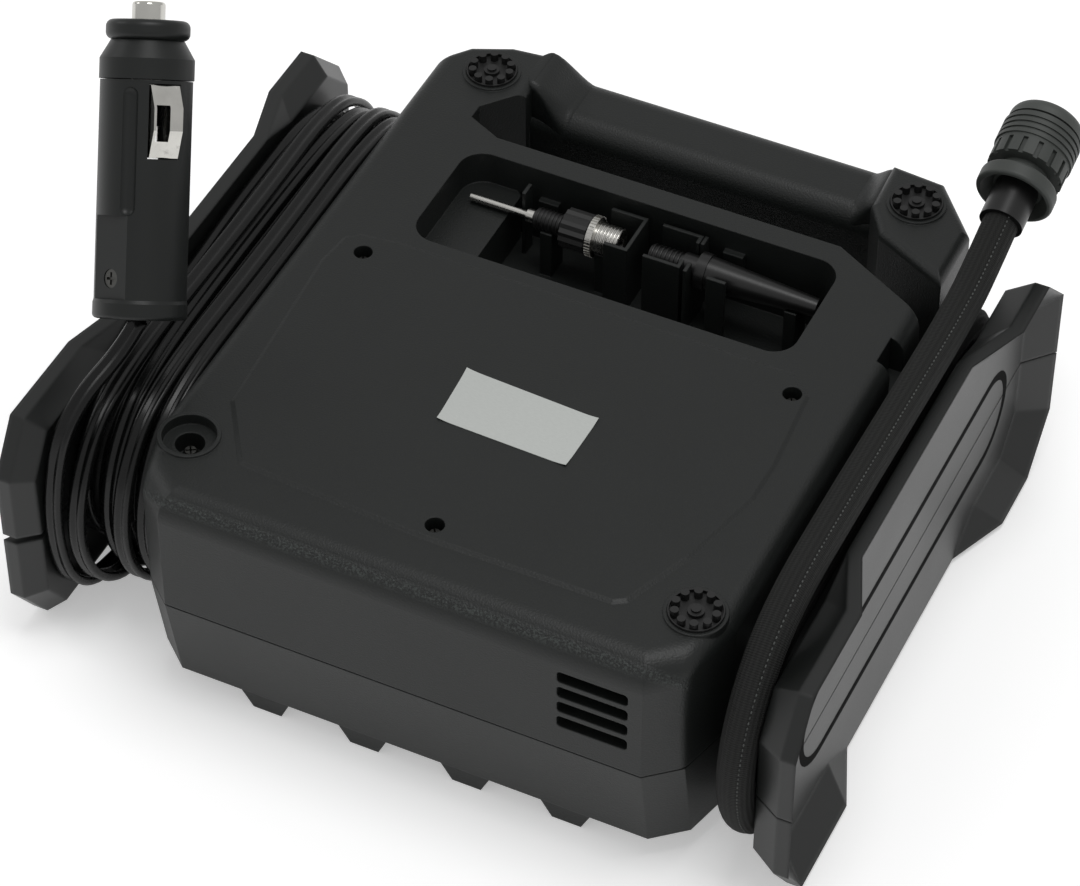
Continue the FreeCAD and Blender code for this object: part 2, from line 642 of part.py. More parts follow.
def wrap(side, upper):
    """Half a cord wrap: the hub on the housing's side and the flared flange outside it."""
    gap = SEAM_GAP / 2
    inner, outer, rise = (RIGHT_INNER, RIGHT_OUTER, RIGHT_LIP) if side > 0 else (-LEFT_INNER, -LEFT_OUTER, LEFT_LIP)
    plate = box((inner, outer), (NEAR_LOBE[2], FAR_LOBE[2]), (SEAM - FLANGE_HALF, SEAM + FLANGE_HALF))
    plate = plate.fuse([lobe(inner, outer, rise, FLANGE_NEAR, NEAR_LOBE), lobe(inner, outer, rise, FLANGE_FAR, FAR_LOBE)])
    plate = plate.removeSplitter()
    groove = slotted_bar(GROOVE_HALF, GROOVE_NEAR, GROOVE_FAR, SEAM, outer - GROOVE_DEPTH, outer + 30)
    island = slotted_bar(GROOVE_HALF - GROOVE_WIDTH, GROOVE_NEAR + GROOVE_WIDTH, GROOVE_FAR - GROOVE_WIDTH,
                         SEAM, outer - GROOVE_DEPTH - 1, outer + 31)
    plate = plate.cut(groove.cut(island))
    if side > 0:
        hub = slotted_bar(RIGHT_HUB, HOSE_NEAR - RIGHT_HUB, HOSE_FAR + RIGHT_HUB,
                          HOSE_INNER_TOP - HOSE_INNER_TURN, HALF_WIDTH, inner)
        low = HOSE_BOTTOM + HOSE_RADIUS + 1.0
        hub = hub.fuse(box((HALF_WIDTH, inner), (HOSE_START + GLAND_LENGTH, HOSE_FAR), (low, SEAM)))
    else:
        hub = slotted_bar(LEFT_HUB, CORD_TIGHT_NEAR - LEFT_HUB, CORD_FAR + LEFT_HUB, SEAM, HALF_WIDTH, inner)
        split = (SEAM - SPLIT_GAP / 2, SEAM + SPLIT_GAP / 2)
        plate = plate.cut(box((inner - 1, outer + 30), (FLANGE_NEAR - 1, SPLIT_FAR), split))
    body = plate.fuse(hub)
    if side > 0:
        body = body.cut(gland_room())
    body = above(body, SEAM + gap) if upper else below(body, SEAM - gap)
    return body if side > 0 else body.mirror(v(0, 0, 0), v(1, 0, 0))


def rubber_foot(x, y):
    """A rubber disc in its ring, hollowed round its middle, with studs round its rim."""
    top = HEIGHT + FOOT_PROUD - STUD_HEIGHT
    foot = rod(FOOT_RADIUS, (x, y, HEIGHT - FOOT_HEIGHT + FOOT_SEAT), (x, y, top))
    foot = foot.cut(ring(FOOT_RADIUS - STUD_EDGE, 1.9, (x, y, top - 0.9), (x, y, top + 1)))
    studs = [rod(1.1, (x, y, top - 1.2), (x, y, top + 0.5 * STUD_HEIGHT))]
    for index in range(STUD_COUNT):
        angle = 2 * math.pi * index / STUD_COUNT
        sx, sy = x + STUD_CIRCLE * math.cos(angle), y + STUD_CIRCLE * math.sin(angle)
        studs.append(rod(STUD_RADIUS, (sx, sy, top - 1.2), (sx, sy, top + STUD_HEIGHT)))
    return foot.fuse(studs)


def rubber_feet():
    """Three feet: the fourth ring, near left, has lost its foot."""
    return Part.makeCompound([rubber_foot(x, y) for x, y in foot_places()[:3]])


def screw(x, y, seat):
    head = rod(SCREW_HEAD_RADIUS, (x, y, seat), (x, y, seat + SCREW_HEAD_HEIGHT))
    slots = box((x - 0.3, x + 0.3), (y - 1.3, y + 1.3), (seat + 0.9, seat + 3))
    slots = slots.fuse(box((x - 1.3, x + 1.3), (y - 0.3, y + 0.3), (seat + 0.9, seat + 3)))
    shank = rod(SCREW_SHANK_RADIUS, (x, y, SEAM - SCREW_GRIP), (x, y, seat))
    return head.cut(slots).fuse(shank)


def housing_screws():
    return Part.makeCompound([screw(*place[:3]) for place in screw_places()])


def display_window():
    return box((-WINDOW_X, WINDOW_X), WINDOW_Y, (FRONT_FACE, FRONT_FACE + 1.58))


def lcd_module():
    low = FRONT_FACE + WALL + SEAT_GAP
    return box((-WINDOW_X + 1, WINDOW_X - 1), (WINDOW_Y[0] + 1, WINDOW_Y[1] - 1), (low, BOARD_LOW - SEAT_GAP))


def control_board():
    """The T-shaped board with its push switches."""
    board = box((-45, 45), (64, 97), (BOARD_LOW, BOARD_LOW + BOARD_THICK))
    board = board.fuse(box((-9, 9), (48, 64), (BOARD_LOW, BOARD_LOW + BOARD_THICK)))
    board = board.fuse(box((-9, 9), (97, LIGHT_Y + 6), (BOARD_LOW, BOARD_LOW + BOARD_THICK)))
    for x, y, radius in BUTTONS.values():
        low = FRONT_FACE + WALL + 1.0 + BUTTON_TRAVEL + 0.1
        board = board.fuse(box((x - 3, x + 3), (y - 3, y + 3), (low + 0.5, BOARD_LOW)))
        board = board.fuse(rod(1.6, (x, y, low), (x, y, low + 0.6)))
    return board


def button(x, y, radius):
    cap = rod(radius, (x, y, FRONT_FACE - BUTTON_PROUD), (x, y, FRONT_FACE + WALL + 0.1))
    rim = rod(radius + 1.4, (x, y, FRONT_FACE + WALL + 0.02), (x, y, FRONT_FACE + WALL + 0.9))
    edge = [e for e in cap.Edges if abs(e.CenterOfMass.z - FRONT_FACE + BUTTON_PROUD) < 0.01]
    return cap.makeFillet(0.5, edge).fuse(rim)


def light_lens():
    inside = FRONT_FACE + WALL + SEAT_GAP
    lens = rod(LIGHT_RADIUS, (0, LIGHT_Y, FRONT_FACE), (0, LIGHT_Y, inside + 1.2))
    lens = lens.fuse(rod(LIGHT_RADIUS + 1.5, (0, LIGHT_Y, inside), (0, LIGHT_Y, inside + 1.2)))
    return lens.cut(rod(LIGHT_RADIUS - 1.5, (0, LIGHT_Y, FRONT_FACE + 1.6), (0, LIGHT_Y, inside + 2)))


def work_light():
    body = rod(2.5, (0, LIGHT_Y, FRONT_FACE + WALL + 1.0), (0, LIGHT_Y, BOARD_LOW - SEAT_GAP))
    return body.fuse(Part.makeSphere(2.5, v(0, LIGHT_Y, FRONT_FACE + WALL + 2.6)).common(
        box((-5, 5), (LIGHT_Y - 5, LIGHT_Y + 5), (0, FRONT_FACE + WALL + 2.6))))


def motor_can():
    """The steel can, open at its far end for the end bell."""
    can = rod(MOTOR_RADIUS, (MOTOR_X[0] + 6, MOTOR_Y, AXIS_Z), (MOTOR_X[1], MOTOR_Y, AXIS_Z))
    can = can.fuse(rod(6.0, (MOTOR_X[1] - 1, MOTOR_Y, AXIS_Z), (MOTOR_X[1] + 2, MOTOR_Y, AXIS_Z)))
    hole = rod(SHAFT_RADIUS + FIT_GAP, (MOTOR_X[0], MOTOR_Y, AXIS_Z), (MOTOR_X[1] + 3, MOTOR_Y, AXIS_Z))
    room = rod(MOTOR_RADIUS - 1.5, (MOTOR_X[0] + 5, MOTOR_Y, AXIS_Z), (MOTOR_X[1] - 1.5, MOTOR_Y, AXIS_Z))
    return can.cut(hole).cut(room)


def motor_end_bell():
    start = (MOTOR_X[0], MOTOR_Y, AXIS_Z)
    bell = rod(MOTOR_RADIUS, start, (MOTOR_X[0] + 6 - SEAT_GAP, MOTOR_Y, AXIS_Z))
    for y in (-11.0, 11.0):
        bell = bell.fuse(box((MOTOR_X[0] - 5, MOTOR_X[0] + 1), (MOTOR_Y + y - 0.4, MOTOR_Y + y + 0.4),
                             (AXIS_Z - 2.4, AXIS_Z + 2.4)))
    return bell.cut(rod(SHAFT_RADIUS + FIT_GAP, (MOTOR_X[0] + 2, MOTOR_Y, AXIS_Z), (MOTOR_X[0] + 7, MOTOR_Y, AXIS_Z)))


def armature():
    """The wound rotor inside the can, a plain drum."""
    return ring(MOTOR_RADIUS - 4.0, SHAFT_RADIUS + SEAT_GAP, (MOTOR_X[0] + 12, MOTOR_Y, AXIS_Z),
                (MOTOR_X[1] - 8, MOTOR_Y, AXIS_Z))


def motor_shaft():
    return rod(SHAFT_RADIUS, (MOTOR_X[0] + 2.4, MOTOR_Y, AXIS_Z), (GEAR_X[1] + 1.5, MOTOR_Y, AXIS_Z))


def toothed_wheel(teeth, y, phase, low, high):
    """A spur wheel with straight-flanked teeth about an axis along X."""
    pitch_radius = MODULE * teeth / 2
    root = pitch_radius - 1.25 * MODULE
    tip = pitch_radius + TOOTH_TIP * MODULE
    step = 2 * math.pi / teeth
    points = []
    for tooth in range(teeth):
        centre = phase + tooth * step
        for radius, share in ((root, -0.34), (tip, -0.12), (tip, 0.12), (root, 0.34)):
            angle = centre + share * step
            points.append((y + radius * math.cos(angle), AXIS_Z + radius * math.sin(angle)))
    return side_prism(points, low, high)


def motor_pinion():
    wheel = toothed_wheel(PINION_TEETH, MOTOR_Y, 0.0, GEAR_X[0] - 0.5, GEAR_X[1] + 0.5)
    return wheel.cut(rod(SHAFT_RADIUS + SEAT_GAP, (0, MOTOR_Y, AXIS_Z), (20, MOTOR_Y, AXIS_Z)))


def drive_gear():
    phase = math.pi + math.pi / GEAR_TEETH
    wheel = toothed_wheel(GEAR_TEETH, GEAR_Y, phase, *GEAR_X)
    wheel = wheel.cut(rod(SHAFT_RADIUS + 1 + SEAT_GAP, (0, GEAR_Y, AXIS_Z), (20, GEAR_Y, AXIS_Z)))
    for index in range(6):
        angle = math.pi * index / 3
        y, z = GEAR_Y + 12 * math.cos(angle), AXIS_Z + 12 * math.sin(angle)
        wheel = wheel.cut(rod(3.2, (0, y, z), (20, y, z)))
    return wheel


def crank_shaft():
    """The shaft that carries the gear and ends in the crank disc."""
    shaft = rod(SHAFT_RADIUS + 1, (-2.2, GEAR_Y, AXIS_Z), (CRANK_X, GEAR_Y, AXIS_Z))
    disc = rod(10.0, (CRANK_X - 3, GEAR_Y, AXIS_Z), (CRANK_X, GEAR_Y, AXIS_Z))
    weight = ring(14.0, 9.0, (CRANK_X - 3, GEAR_Y, AXIS_Z), (CRANK_X, GEAR_Y, AXIS_Z))
    weight = weight.common(box((CRANK_X - 4, CRANK_X + 1), (GEAR_Y, GEAR_Y + 15), (AXIS_Z - 15, AXIS_Z + 15)))
    return shaft.fuse([disc, weight])


def crank_pin():
    return rod(2.0, (CRANK_X + SEAT_GAP, GEAR_Y - CRANK_RADIUS, AXIS_Z), (CRANK_X + 3, GEAR_Y - CRANK_RADIUS, AXIS_Z))


def pump_frame():
    """The cast frame: motor plate, crank bearing, shelf and the cylinder's ring."""
    plate = box((-2.6, 2.0), (MOTOR_Y - 18, GEAR_Y + 9), (FRAME_SHELF, AXIS_Z + 17))
    shelf = box((-2.6, 47), (CYLINDER_Y[0] + 7, CYLINDER_Y[1] + 3), (FRAME_SHELF, FRAME_SHELF + 3.5))
    holder = box((CYLINDER_X - 15, CYLINDER_X + 15), (CYLINDER_Y[1], CYLINDER_Y[1] + 3),
                 (FRAME_SHELF, AXIS_Z + 15))
    frame = plate.fuse([shelf, holder])
    frame = frame.cut(rod(6.0 + SEAT_GAP, (-5, MOTOR_Y, AXIS_Z), (5, MOTOR_Y, AXIS_Z)))
    frame = frame.cut(rod(SHAFT_RADIUS + 1 + FIT_GAP, (-5, GEAR_Y, AXIS_Z), (5, GEAR_Y, AXIS_Z)))
    return frame.cut(rod(BORE_RADIUS + 1, (CYLINDER_X, CYLINDER_Y[1] - 7, AXIS_Z), (CYLINDER_X, CYLINDER_Y[1] + 13, AXIS_Z)))


def cylinder():
    outer = BORE_RADIUS + CYLINDER_WALL
    barrel = rod(outer, (CYLINDER_X, CYLINDER_Y[0], AXIS_Z), (CYLINDER_X, CYLINDER_Y[1] - SEAT_GAP, AXIS_Z))
    for index in range(3):
        y = CYLINDER_Y[0] + 5 + index * 6
        barrel = barrel.fuse(rod(outer + 2.5, (CYLINDER_X, y, AXIS_Z), (CYLINDER_X, y + 2, AXIS_Z)))
    return barrel.cut(rod(BORE_RADIUS, (CYLINDER_X, CYLINDER_Y[0] - 1, AXIS_Z), (CYLINDER_X, CYLINDER_Y[1] + 1, AXIS_Z)))


def cylinder_head():
    y = CYLINDER_Y[0] - SEAT_GAP
    head = box((CYLINDER_X - 16, CYLINDER_X + 16), (y - HEAD_THICK, y), (AXIS_Z - 16, AXIS_Z + 16))
    upright = [e for e in head.Edges if abs(e.tangentAt(e.FirstParameter).y) > 0.9]
    head = head.makeFillet(4.0, upright)
    x, z = OUTLET_X, AXIS_Z + 8
    elbow = box((CYLINDER_X + 15, x + 3), (y - HEAD_THICK, y), (z - 3, z + 3))
    return head.fuse([elbow, rod(AIR_TUBE_RADIUS + 0.4, (x, y - 1, z), (x, OUTLET_END, z))])


def head_screws():
    y = CYLINDER_Y[0] - HEAD_THICK - SEAT_GAP
    screws = []
    for dx in (-12.5, 12.5):
        for dz in (-12.5, 12.5):
            place = (CYLINDER_X + dx, y - SEAT_GAP, AXIS_Z + dz)
            screws.append(rod(2.4, (place[0], y - 2, place[2]), place))
    return Part.makeCompound(screws)


def piston():
    """The piston disc with its cup seal's groove."""
    disc = rod(BORE_RADIUS - FIT_GAP, (CYLINDER_X, PISTON_Y - 4, AXIS_Z), (CYLINDER_X, PISTON_Y + 3, AXIS_Z))
    return disc.cut(ring(BORE_RADIUS + 1, BORE_RADIUS - 1.6, (CYLINDER_X, PISTON_Y - 1.2, AXIS_Z),
                         (CYLINDER_X, PISTON_Y + 1.2, AXIS_Z)))


def piston_seal():
    return ring(BORE_RADIUS - FIT_GAP, BORE_RADIUS - 1.6 + SEAT_GAP, (CYLINDER_X, PISTON_Y - 1.18, AXIS_Z),
                (CYLINDER_X, PISTON_Y + 1.18, AXIS_Z))


def connecting_rod():
    """The rod, whose big end runs in the plane just beyond the crank pin."""
    low, high = CRANK_X + 3 + RUN_GAP, CRANK_X + 7.5
    eye_y = GEAR_Y - CRANK_RADIUS
    rod_body = box((low, high), (PISTON_Y + 3 + SEAT_GAP, eye_y), (AXIS_Z - 3, AXIS_Z + 3))
    eye = rod(5.0, (low, eye_y, AXIS_Z), (high, eye_y, AXIS_Z))
    foot = rod(6.0, (CYLINDER_X, PISTON_Y + 3 + SEAT_GAP, AXIS_Z), (CYLINDER_X, PISTON_Y + 6, AXIS_Z))
    hole = rod(2.0 + FIT_GAP, (low - 1, eye_y, AXIS_Z), (high + 1, eye_y, AXIS_Z))
    return rod_body.fuse([eye, foot]).cut(hole)


def hose_gland():
    end = HOSE_START + GLAND_LENGTH
    height = HOSE_INNER_TOP - 2 * HOSE_INNER_TURN
    cone = Part.makeCone(GLAND_RADIUS, HOSE_RADIUS + 0.4, GLAND_LENGTH, v(HOSE_INNER_X, end, height), v(0, -1, 0))
    return cone


def gland_room():
    """The space under the hub's step that the gland stands in."""
    height = HOSE_INNER_TOP - 2 * HOSE_INNER_TURN
    end = HOSE_START + GLAND_LENGTH
    return rod(GLAND_RADIUS + RUN_GAP, (HOSE_INNER_X, HOSE_START - 1, height), (HOSE_INNER_X, end, height))


def cord_gland_hole():
    y, z = CORD_GLAND
    return rod(CORD_GLAND_RADIUS + SEAT_GAP, (-HALF_WIDTH - 1, y, z), (-HALF_WIDTH + WALL + 1, y, z))


def cord_gland():
    """The grommet that leads the power cord out of the wall under its inner turns."""
    y, z = CORD_GLAND
    inside = -HALF_WIDTH + WALL + SEAT_GAP
    body = rod(CORD_GLAND_RADIUS, (-HALF_WIDTH - 1.0, y, z), (inside + 0.5, y, z))
    return body.fuse(rod(CORD_GLAND_RADIUS + 1.5, (inside, y, z), (inside + 2.5, y, z)))


def line(start, end):
    return Part.LineSegment(v(*start), v(*end)).toShape()


def half_turn(x, y, low, high, outward):
    """A half circle in the YZ plane from (y, low) to (y, high), bulging outwards."""
    radius = (high - low) / 2
    middle = v(x, y + outward * abs(radius), (low + high) / 2)
    return Part.Arc(v(x, y, low), middle, v(x, y, high)).toShape()


def shift(start, end):
    """Two equal arcs that carry a run sideways in X and leave it parallel to Y."""
    (x0, y0, z0), (x1, y1, z1) = start, end
    middle = ((x0 + x1) / 2, (y0 + y1) / 2)
    quarter = ((x0 + middle[0]) / 2, (y0 + middle[1]) / 2)
    span, offset = abs(middle[1] - y0), middle[0] - x0
    radius = (span ** 2 + offset ** 2) / (2 * abs(offset))
    sign = 1 if offset > 0 else -1
    turn = math.atan2(span, radius - abs(offset)) / 2
    direction = 1 if y1 > y0 else -1
    rise = radius * (1 - math.cos(turn)) * sign
    first = v(x0 + rise, y0 + direction * radius * math.sin(turn), z0)
    last = v(x1 - rise, y1 - direction * radius * math.sin(turn), z0)
    knee = v(middle[0], middle[1], z0)
    return [Part.Arc(v(x0, y0, z0), first, knee).toShape(), Part.Arc(knee, last, v(x1, y1, z1)).toShape()]


def sweep(edges, radius):
    """A round tube along a path of lines and arcs that meet without a kink."""
    path = Part.Wire(edges)
    start = edges[0].valueAt(edges[0].FirstParameter)
    heading = edges[0].tangentAt(edges[0].FirstParameter)
    section = Part.Wire(Part.makeCircle(radius, start, heading))
    tube = path.makePipeShell([section], True, False)
    return tube


def rounded_route(points):
    """Straight runs joined by arcs as large as their shorter run allows."""
    corners = [v(*point) for point in points]
    edges, radii = [], []
    at = corners[0]
    for before, here, after in zip(corners, corners[1:], corners[2:]):
        back, ahead = before - here, after - here
        turn = math.pi - back.getAngle(ahead)
        cut = 0.45 * min(back.Length, ahead.Length)
        radii.append(cut / math.tan(turn / 2))
        start = here + back.normalize() * cut
        end = here + ahead.normalize() * cut
        bow = (start + end) * 0.5 - here
        depth = radii[-1] / math.cos(turn / 2) - radii[-1]
        middle = here + bow.normalize() * depth
        edges.append(Part.LineSegment(at, start).toShape())
        edges.append(Part.Arc(start, middle, end).toShape())
        at = end
    edges.append(Part.LineSegment(at, corners[-1]).toShape())
    return edges, radii


def path_length(edges):
    return sum(edge.Length for edge in edges)


def hose_winding_path():
    """From the gland along the hub, once round it, and round the near end again."""
    inner_low = HOSE_INNER_TOP - 2 * HOSE_INNER_TURN
    top = HOSE_BOTTOM + 2 * HOSE_OUTER_TURN
    xi, xo = HOSE_INNER_X, HOSE_OUTER_X
    edges = [line((xi, HOSE_START, inner_low), (xi, HOSE_NEAR, inner_low))]
    edges.append(half_turn(xi, HOSE_NEAR, inner_low, HOSE_INNER_TOP, -1))
    edges.append(line((xi, HOSE_NEAR, HOSE_INNER_TOP), (xi, HOSE_FAR, HOSE_INNER_TOP)))
    edges.append(half_turn(xi, HOSE_FAR, HOSE_INNER_TOP, HOSE_BOTTOM, 1))
    edges += shift((xi, HOSE_FAR, HOSE_BOTTOM), (xo, HOSE_NEAR, HOSE_BOTTOM))
    edges.append(half_turn(xo, HOSE_NEAR, HOSE_BOTTOM, top, -1))
    edges.append(line((xo, HOSE_NEAR, top), (xo, HOSE_NEAR + 2 * HOSE_RADIUS, top)))
    return edges


def hose_end_route():
    """The free stretch from the winding along the top of the wrap to the chuck."""
    top = HOSE_BOTTOM + 2 * HOSE_OUTER_TURN
    near = HOSE_NEAR + 2 * HOSE_RADIUS
    x, y, z = CHUCK_FOOT
    return [(x, near, top), (x, y - (z - top) / math.tan(math.radians(CHUCK_LEAN)), top), CHUCK_FOOT]


def along_chuck(shape):
    """Turn a piece made along +Z so that it lies along the chuck's axis."""
    shape.rotate(v(0, 0, 0), v(1, 0, 0), CHUCK_LEAN - 90)
    shape.translate(v(*CHUCK_FOOT))
    return shape


def hose_ferrule():
    body = rod(FERRULE_RADIUS, (0, 0, SEAT_GAP), (0, 0, FERRULE_LENGTH))
    return along_chuck(body)


def chuck_body():
    """The inner body with its flared skirt towards the hose."""
    low, high = FERRULE_LENGTH - SKIRT_BELOW, FERRULE_LENGTH + CHUCK_LENGTH
    start = FERRULE_LENGTH + SEAT_GAP
    body = rod(6.0, (0, 0, start), (0, 0, high - 4))
    skirt = rod(CHUCK_RADIUS, (0, 0, low), (0, 0, low + SKIRT_BELOW + SKIRT_ABOVE))
    skirt = skirt.makeFillet(0.8, [e for e in skirt.Edges if e.Length > 10 and e.Closed])
    hollow = Part.makeCone(CHUCK_RADIUS - 1.2, FERRULE_RADIUS + 0.4, SKIRT_BELOW + 0.4, v(0, 0, low), v(0, 0, 1))
    skirt = skirt.cut(hollow).cut(rod(FERRULE_RADIUS + RUN_GAP, (0, 0, low - 1), (0, 0, start)))
    body = body.fuse(skirt)
    body = body.cut(rod(CHUCK_BORE, (0, 0, high - CHUCK_BORE_DEPTH), (0, 0, high)))
    body = body.cut(rod(CHUCK_CHAMBER, (0, 0, high - CHUCK_BORE_DEPTH - CHUCK_CHAMBER_DEPTH), (0, 0, high)))
    return along_chuck(body)


def chuck_sleeve():
    """The sliding grip: castellated ring and fine ribs."""
    low = FERRULE_LENGTH + SKIRT_ABOVE + SEAT_GAP + CHUCK_TRAVEL
    high = FERRULE_LENGTH + CHUCK_LENGTH - 4.5
    sleeve = rod(CHUCK_RADIUS - 0.3, (0, 0, low), (0, 0, high))
    pitch = (high - low - SLEEVE_SLOT - 1.0) / SLEEVE_RIBS
    for index in range(SLEEVE_RIBS):
        z = low + SLEEVE_SLOT + 1.0 + index * pitch
        sleeve = sleeve.fuse(rod(CHUCK_RADIUS + 0.1, (0, 0, z), (0, 0, z + 0.6 * pitch)))
    for index in range(15):
        slot = box((CHUCK_RADIUS - 1.1, CHUCK_RADIUS + 1), (-0.6, 0.6), (low - 1, low + SLEEVE_SLOT))
        slot.rotate(v(0, 0, 0), v(0, 0, 1), 24 * index)
        sleeve = sleeve.cut(slot)
    return along_chuck(sleeve.cut(rod(6.0 + FIT_GAP, (0, 0, 0), (0, 0, 60))))


def chuck_cap():
    """The smooth end cap round the mouth."""
    top = FERRULE_LENGTH + CHUCK_LENGTH
    cap = rod(CHUCK_RADIUS - 0.3, (0, 0, top - 4 + SEAT_GAP), (0, 0, top))
    edge = [e for e in cap.Edges if abs(e.CenterOfMass.z - top) < 0.01 and e.Length > 10]
    cap = cap.makeFillet(2.6, edge)
    return along_chuck(cap.cut(rod(CHUCK_BORE, (0, 0, 0), (0, 0, 60))))


def chuck_seal():
    """The rubber seal at the bottom of the chuck's bore."""
    low = FERRULE_LENGTH + CHUCK_LENGTH - CHUCK_BORE_DEPTH - CHUCK_CHAMBER_DEPTH
    return along_chuck(ring(CHUCK_CHAMBER - SEAT_GAP, 1.4, (0, 0, low + SEAT_GAP), (0, 0, low + 2.0)))


def valve_depressor():
    low = FERRULE_LENGTH + CHUCK_LENGTH - CHUCK_BORE_DEPTH - CHUCK_CHAMBER_DEPTH
    return along_chuck(rod(1.1, (0, 0, low + SEAT_GAP), (0, 0, low + CHUCK_CHAMBER_DEPTH - 0.3)))


def cord_turns():
    """Each outer turn's X and where its near bend starts: the last two hang loose."""
    nears = (CORD_TIGHT_NEAR, CORD_TIGHT_NEAR, CORD_TIGHT_NEAR, CORD_LOOSE_NEAR, CORD_LOOSE_NEAR)
    return [(CORD_FIRST_X - index * CORD_PITCH, near) for index, near in enumerate(nears)]


def power_cord_path():
    """The outer turns: up the near end, along the top, down the far end and back below."""
    low, high = SEAM - CORD_TURN, SEAM + CORD_TURN
    turns = cord_turns()
    x, near = turns[0]
    edges = [line((x, CORD_START, low), (x, near, low))]
    for (x, near), (next_x, next_near) in zip(turns, turns[1:]):
        edges.append(half_turn(x, near, low, high, -1))
        edges.append(line((x, near, high), (x, CORD_FAR, high)))
        edges.append(half_turn(x, CORD_FAR, high, low, 1))
        edges += shift((x, CORD_FAR, low), (next_x, CORD_TIGHT_NEAR + 10, low))
        edges.append(line((next_x, CORD_TIGHT_NEAR + 10, low), (next_x, next_near, low)))
    return edges


def power_cord_core():
    """The inner turns, as the outer shape of their coil round the hub."""
    low, high = -HALF_WIDTH - LEFT_GAP + 0.4, -HALF_WIDTH - 1.0
    coil = slotted_bar(CORD_CORE, CORD_TIGHT_NEAR - CORD_CORE, CORD_FAR + CORD_CORE, SEAM, low, high)
    coil = coil.cut(slotted_bar(LEFT_HUB + RUN_GAP, CORD_TIGHT_NEAR - LEFT_HUB - RUN_GAP,
                                CORD_FAR + LEFT_HUB + RUN_GAP, SEAM, low - 1, high + 1))
    stop = (CORD_START, CORD_START + 6)
    x = CORD_FIRST_X
    return coil.fuse(box((x - 2, x + 1.8), stop, (SEAM - CORD_TURN - 1.8, SEAM - CORD_CORE + 2)))


def plug_axis():
    lean, turn = math.radians(PLUG_LEAN), math.radians(PLUG_TURN)
    return v(-math.sin(turn) * math.sin(lean), math.cos(turn) * math.sin(lean), math.cos(lean))


def power_cord_end_route():
    """The loose end, from the last near bend up into the foot of the plug."""
    low = SEAM - CORD_TURN
    x = CORD_FIRST_X - 4 * CORD_PITCH
    foot = v(*PLUG_FOOT)
    under = foot - plug_axis() * 9
    return [
        (x, CORD_LOOSE_NEAR, low),
        (x, CORD_LOOSE_NEAR - 13, low),
        (x, CORD_LOOSE_NEAR - 27, low + 13),
        (x, CORD_LOOSE_NEAR - 31, low + 33),
        (x + 1.0, CORD_LOOSE_NEAR - 27, low + 56),
        (x + 3.5, CORD_LOOSE_NEAR - 19, low + 65),
        (under.x, under.y, under.z),
        (foot.x, foot.y, foot.z),
    ]


def along_plug(shape):
    """Turn a piece made along +Z so that it lies along the plug's axis."""
    shape.rotate(v(0, 0, 0), v(1, 0, 0), -PLUG_LEAN)
    shape.rotate(v(0, 0, 0), v(0, 0, 1), PLUG_TURN)
    shape.translate(v(*PLUG_FOOT))
    return shape


def turned(shape, angle):
    shape.rotate(v(0, 0, 0), v(0, 0, 1), angle)
    return shape


def plug_body():
    """The handle of the plug: a lip, a flat with a screw, a scooped groove and two contact windows."""
    radius = PLUG_RADIUS - 0.25
    body = rod(radius, (0, 0, PLUG_LIP - 1), (0, 0, PLUG_BODY))
    lip = rod(PLUG_RADIUS, (0, 0, SEAT_GAP), (0, 0, PLUG_LIP - 0.8))
    lip = lip.makeFillet(1.0, [e for e in lip.Edges if abs(e.CenterOfMass.z - SEAT_GAP) < 0.01])
    body = body.fuse([lip, Part.makeCone(PLUG_RADIUS, radius, 0.8, v(0, 0, PLUG_LIP - 0.8), v(0, 0, 1))])
    body = body.cut(rod(PLUG_BORE, (0, 0, FUSE_LOW - SEAT_GAP), (0, 0, PLUG_BODY + 1)))
    flat = box((PLUG_RADIUS - PLUG_FLAT_DEPTH, PLUG_RADIUS + 2), (-9, 9), (PLUG_LIP, PLUG_FLAT_TOP))
    sink = PLUG_RADIUS - PLUG_FLAT_DEPTH - PLUG_SCREW_SINK
    flat = flat.fuse(rod(PLUG_SCREW_RADIUS + FIT_GAP, (sink, 0, PLUG_SCREW_HEIGHT), (sink + 3, 0, PLUG_SCREW_HEIGHT)))
    body = body.cut(turned(flat, PLUG_FLAT_ANGLE))
    low, high = PLUG_GROOVE[0] + GROOVE_SCOOP, PLUG_GROOVE[1] - GROOVE_SCOOP
    groove = rod(GROOVE_SCOOP, (PLUG_RADIUS + 0.9, 0, low), (PLUG_RADIUS + 0.9, 0, high))
    for height in (low, high):
        groove = groove.fuse(Part.makeSphere(GROOVE_SCOOP, v(PLUG_RADIUS + 0.9, 0, height)))
    body = body.cut(turned(groove, PLUG_GROOVE_ANGLE))
    for side in (0, 180):
        window = box((PLUG_BORE - 1, PLUG_RADIUS + 2), (-CONTACT_WIDTH / 2 - RUN_GAP, CONTACT_WIDTH / 2 + RUN_GAP),
                     (CONTACT_LOW - RUN_GAP, CONTACT_HIGH + RUN_GAP))
        body = body.cut(turned(window, CONTACT_ANGLE + side))
    return along_plug(body)


def plug_cap():
    """The cone-shouldered cap that holds the tip."""
    low = PLUG_BODY + 0.2
    cap = rod(PLUG_RADIUS, (0, 0, low), (0, 0, PLUG_SHOULDER))
    cap = cap.fuse(Part.makeCone(PLUG_RADIUS, PLUG_NECK_RADIUS, PLUG_COLLAR - PLUG_SHOULDER,
                                 v(0, 0, PLUG_SHOULDER), v(0, 0, 1)))
    return along_plug(cap.cut(rod(PLUG_BORE, (0, 0, 0), (0, 0, 90))))


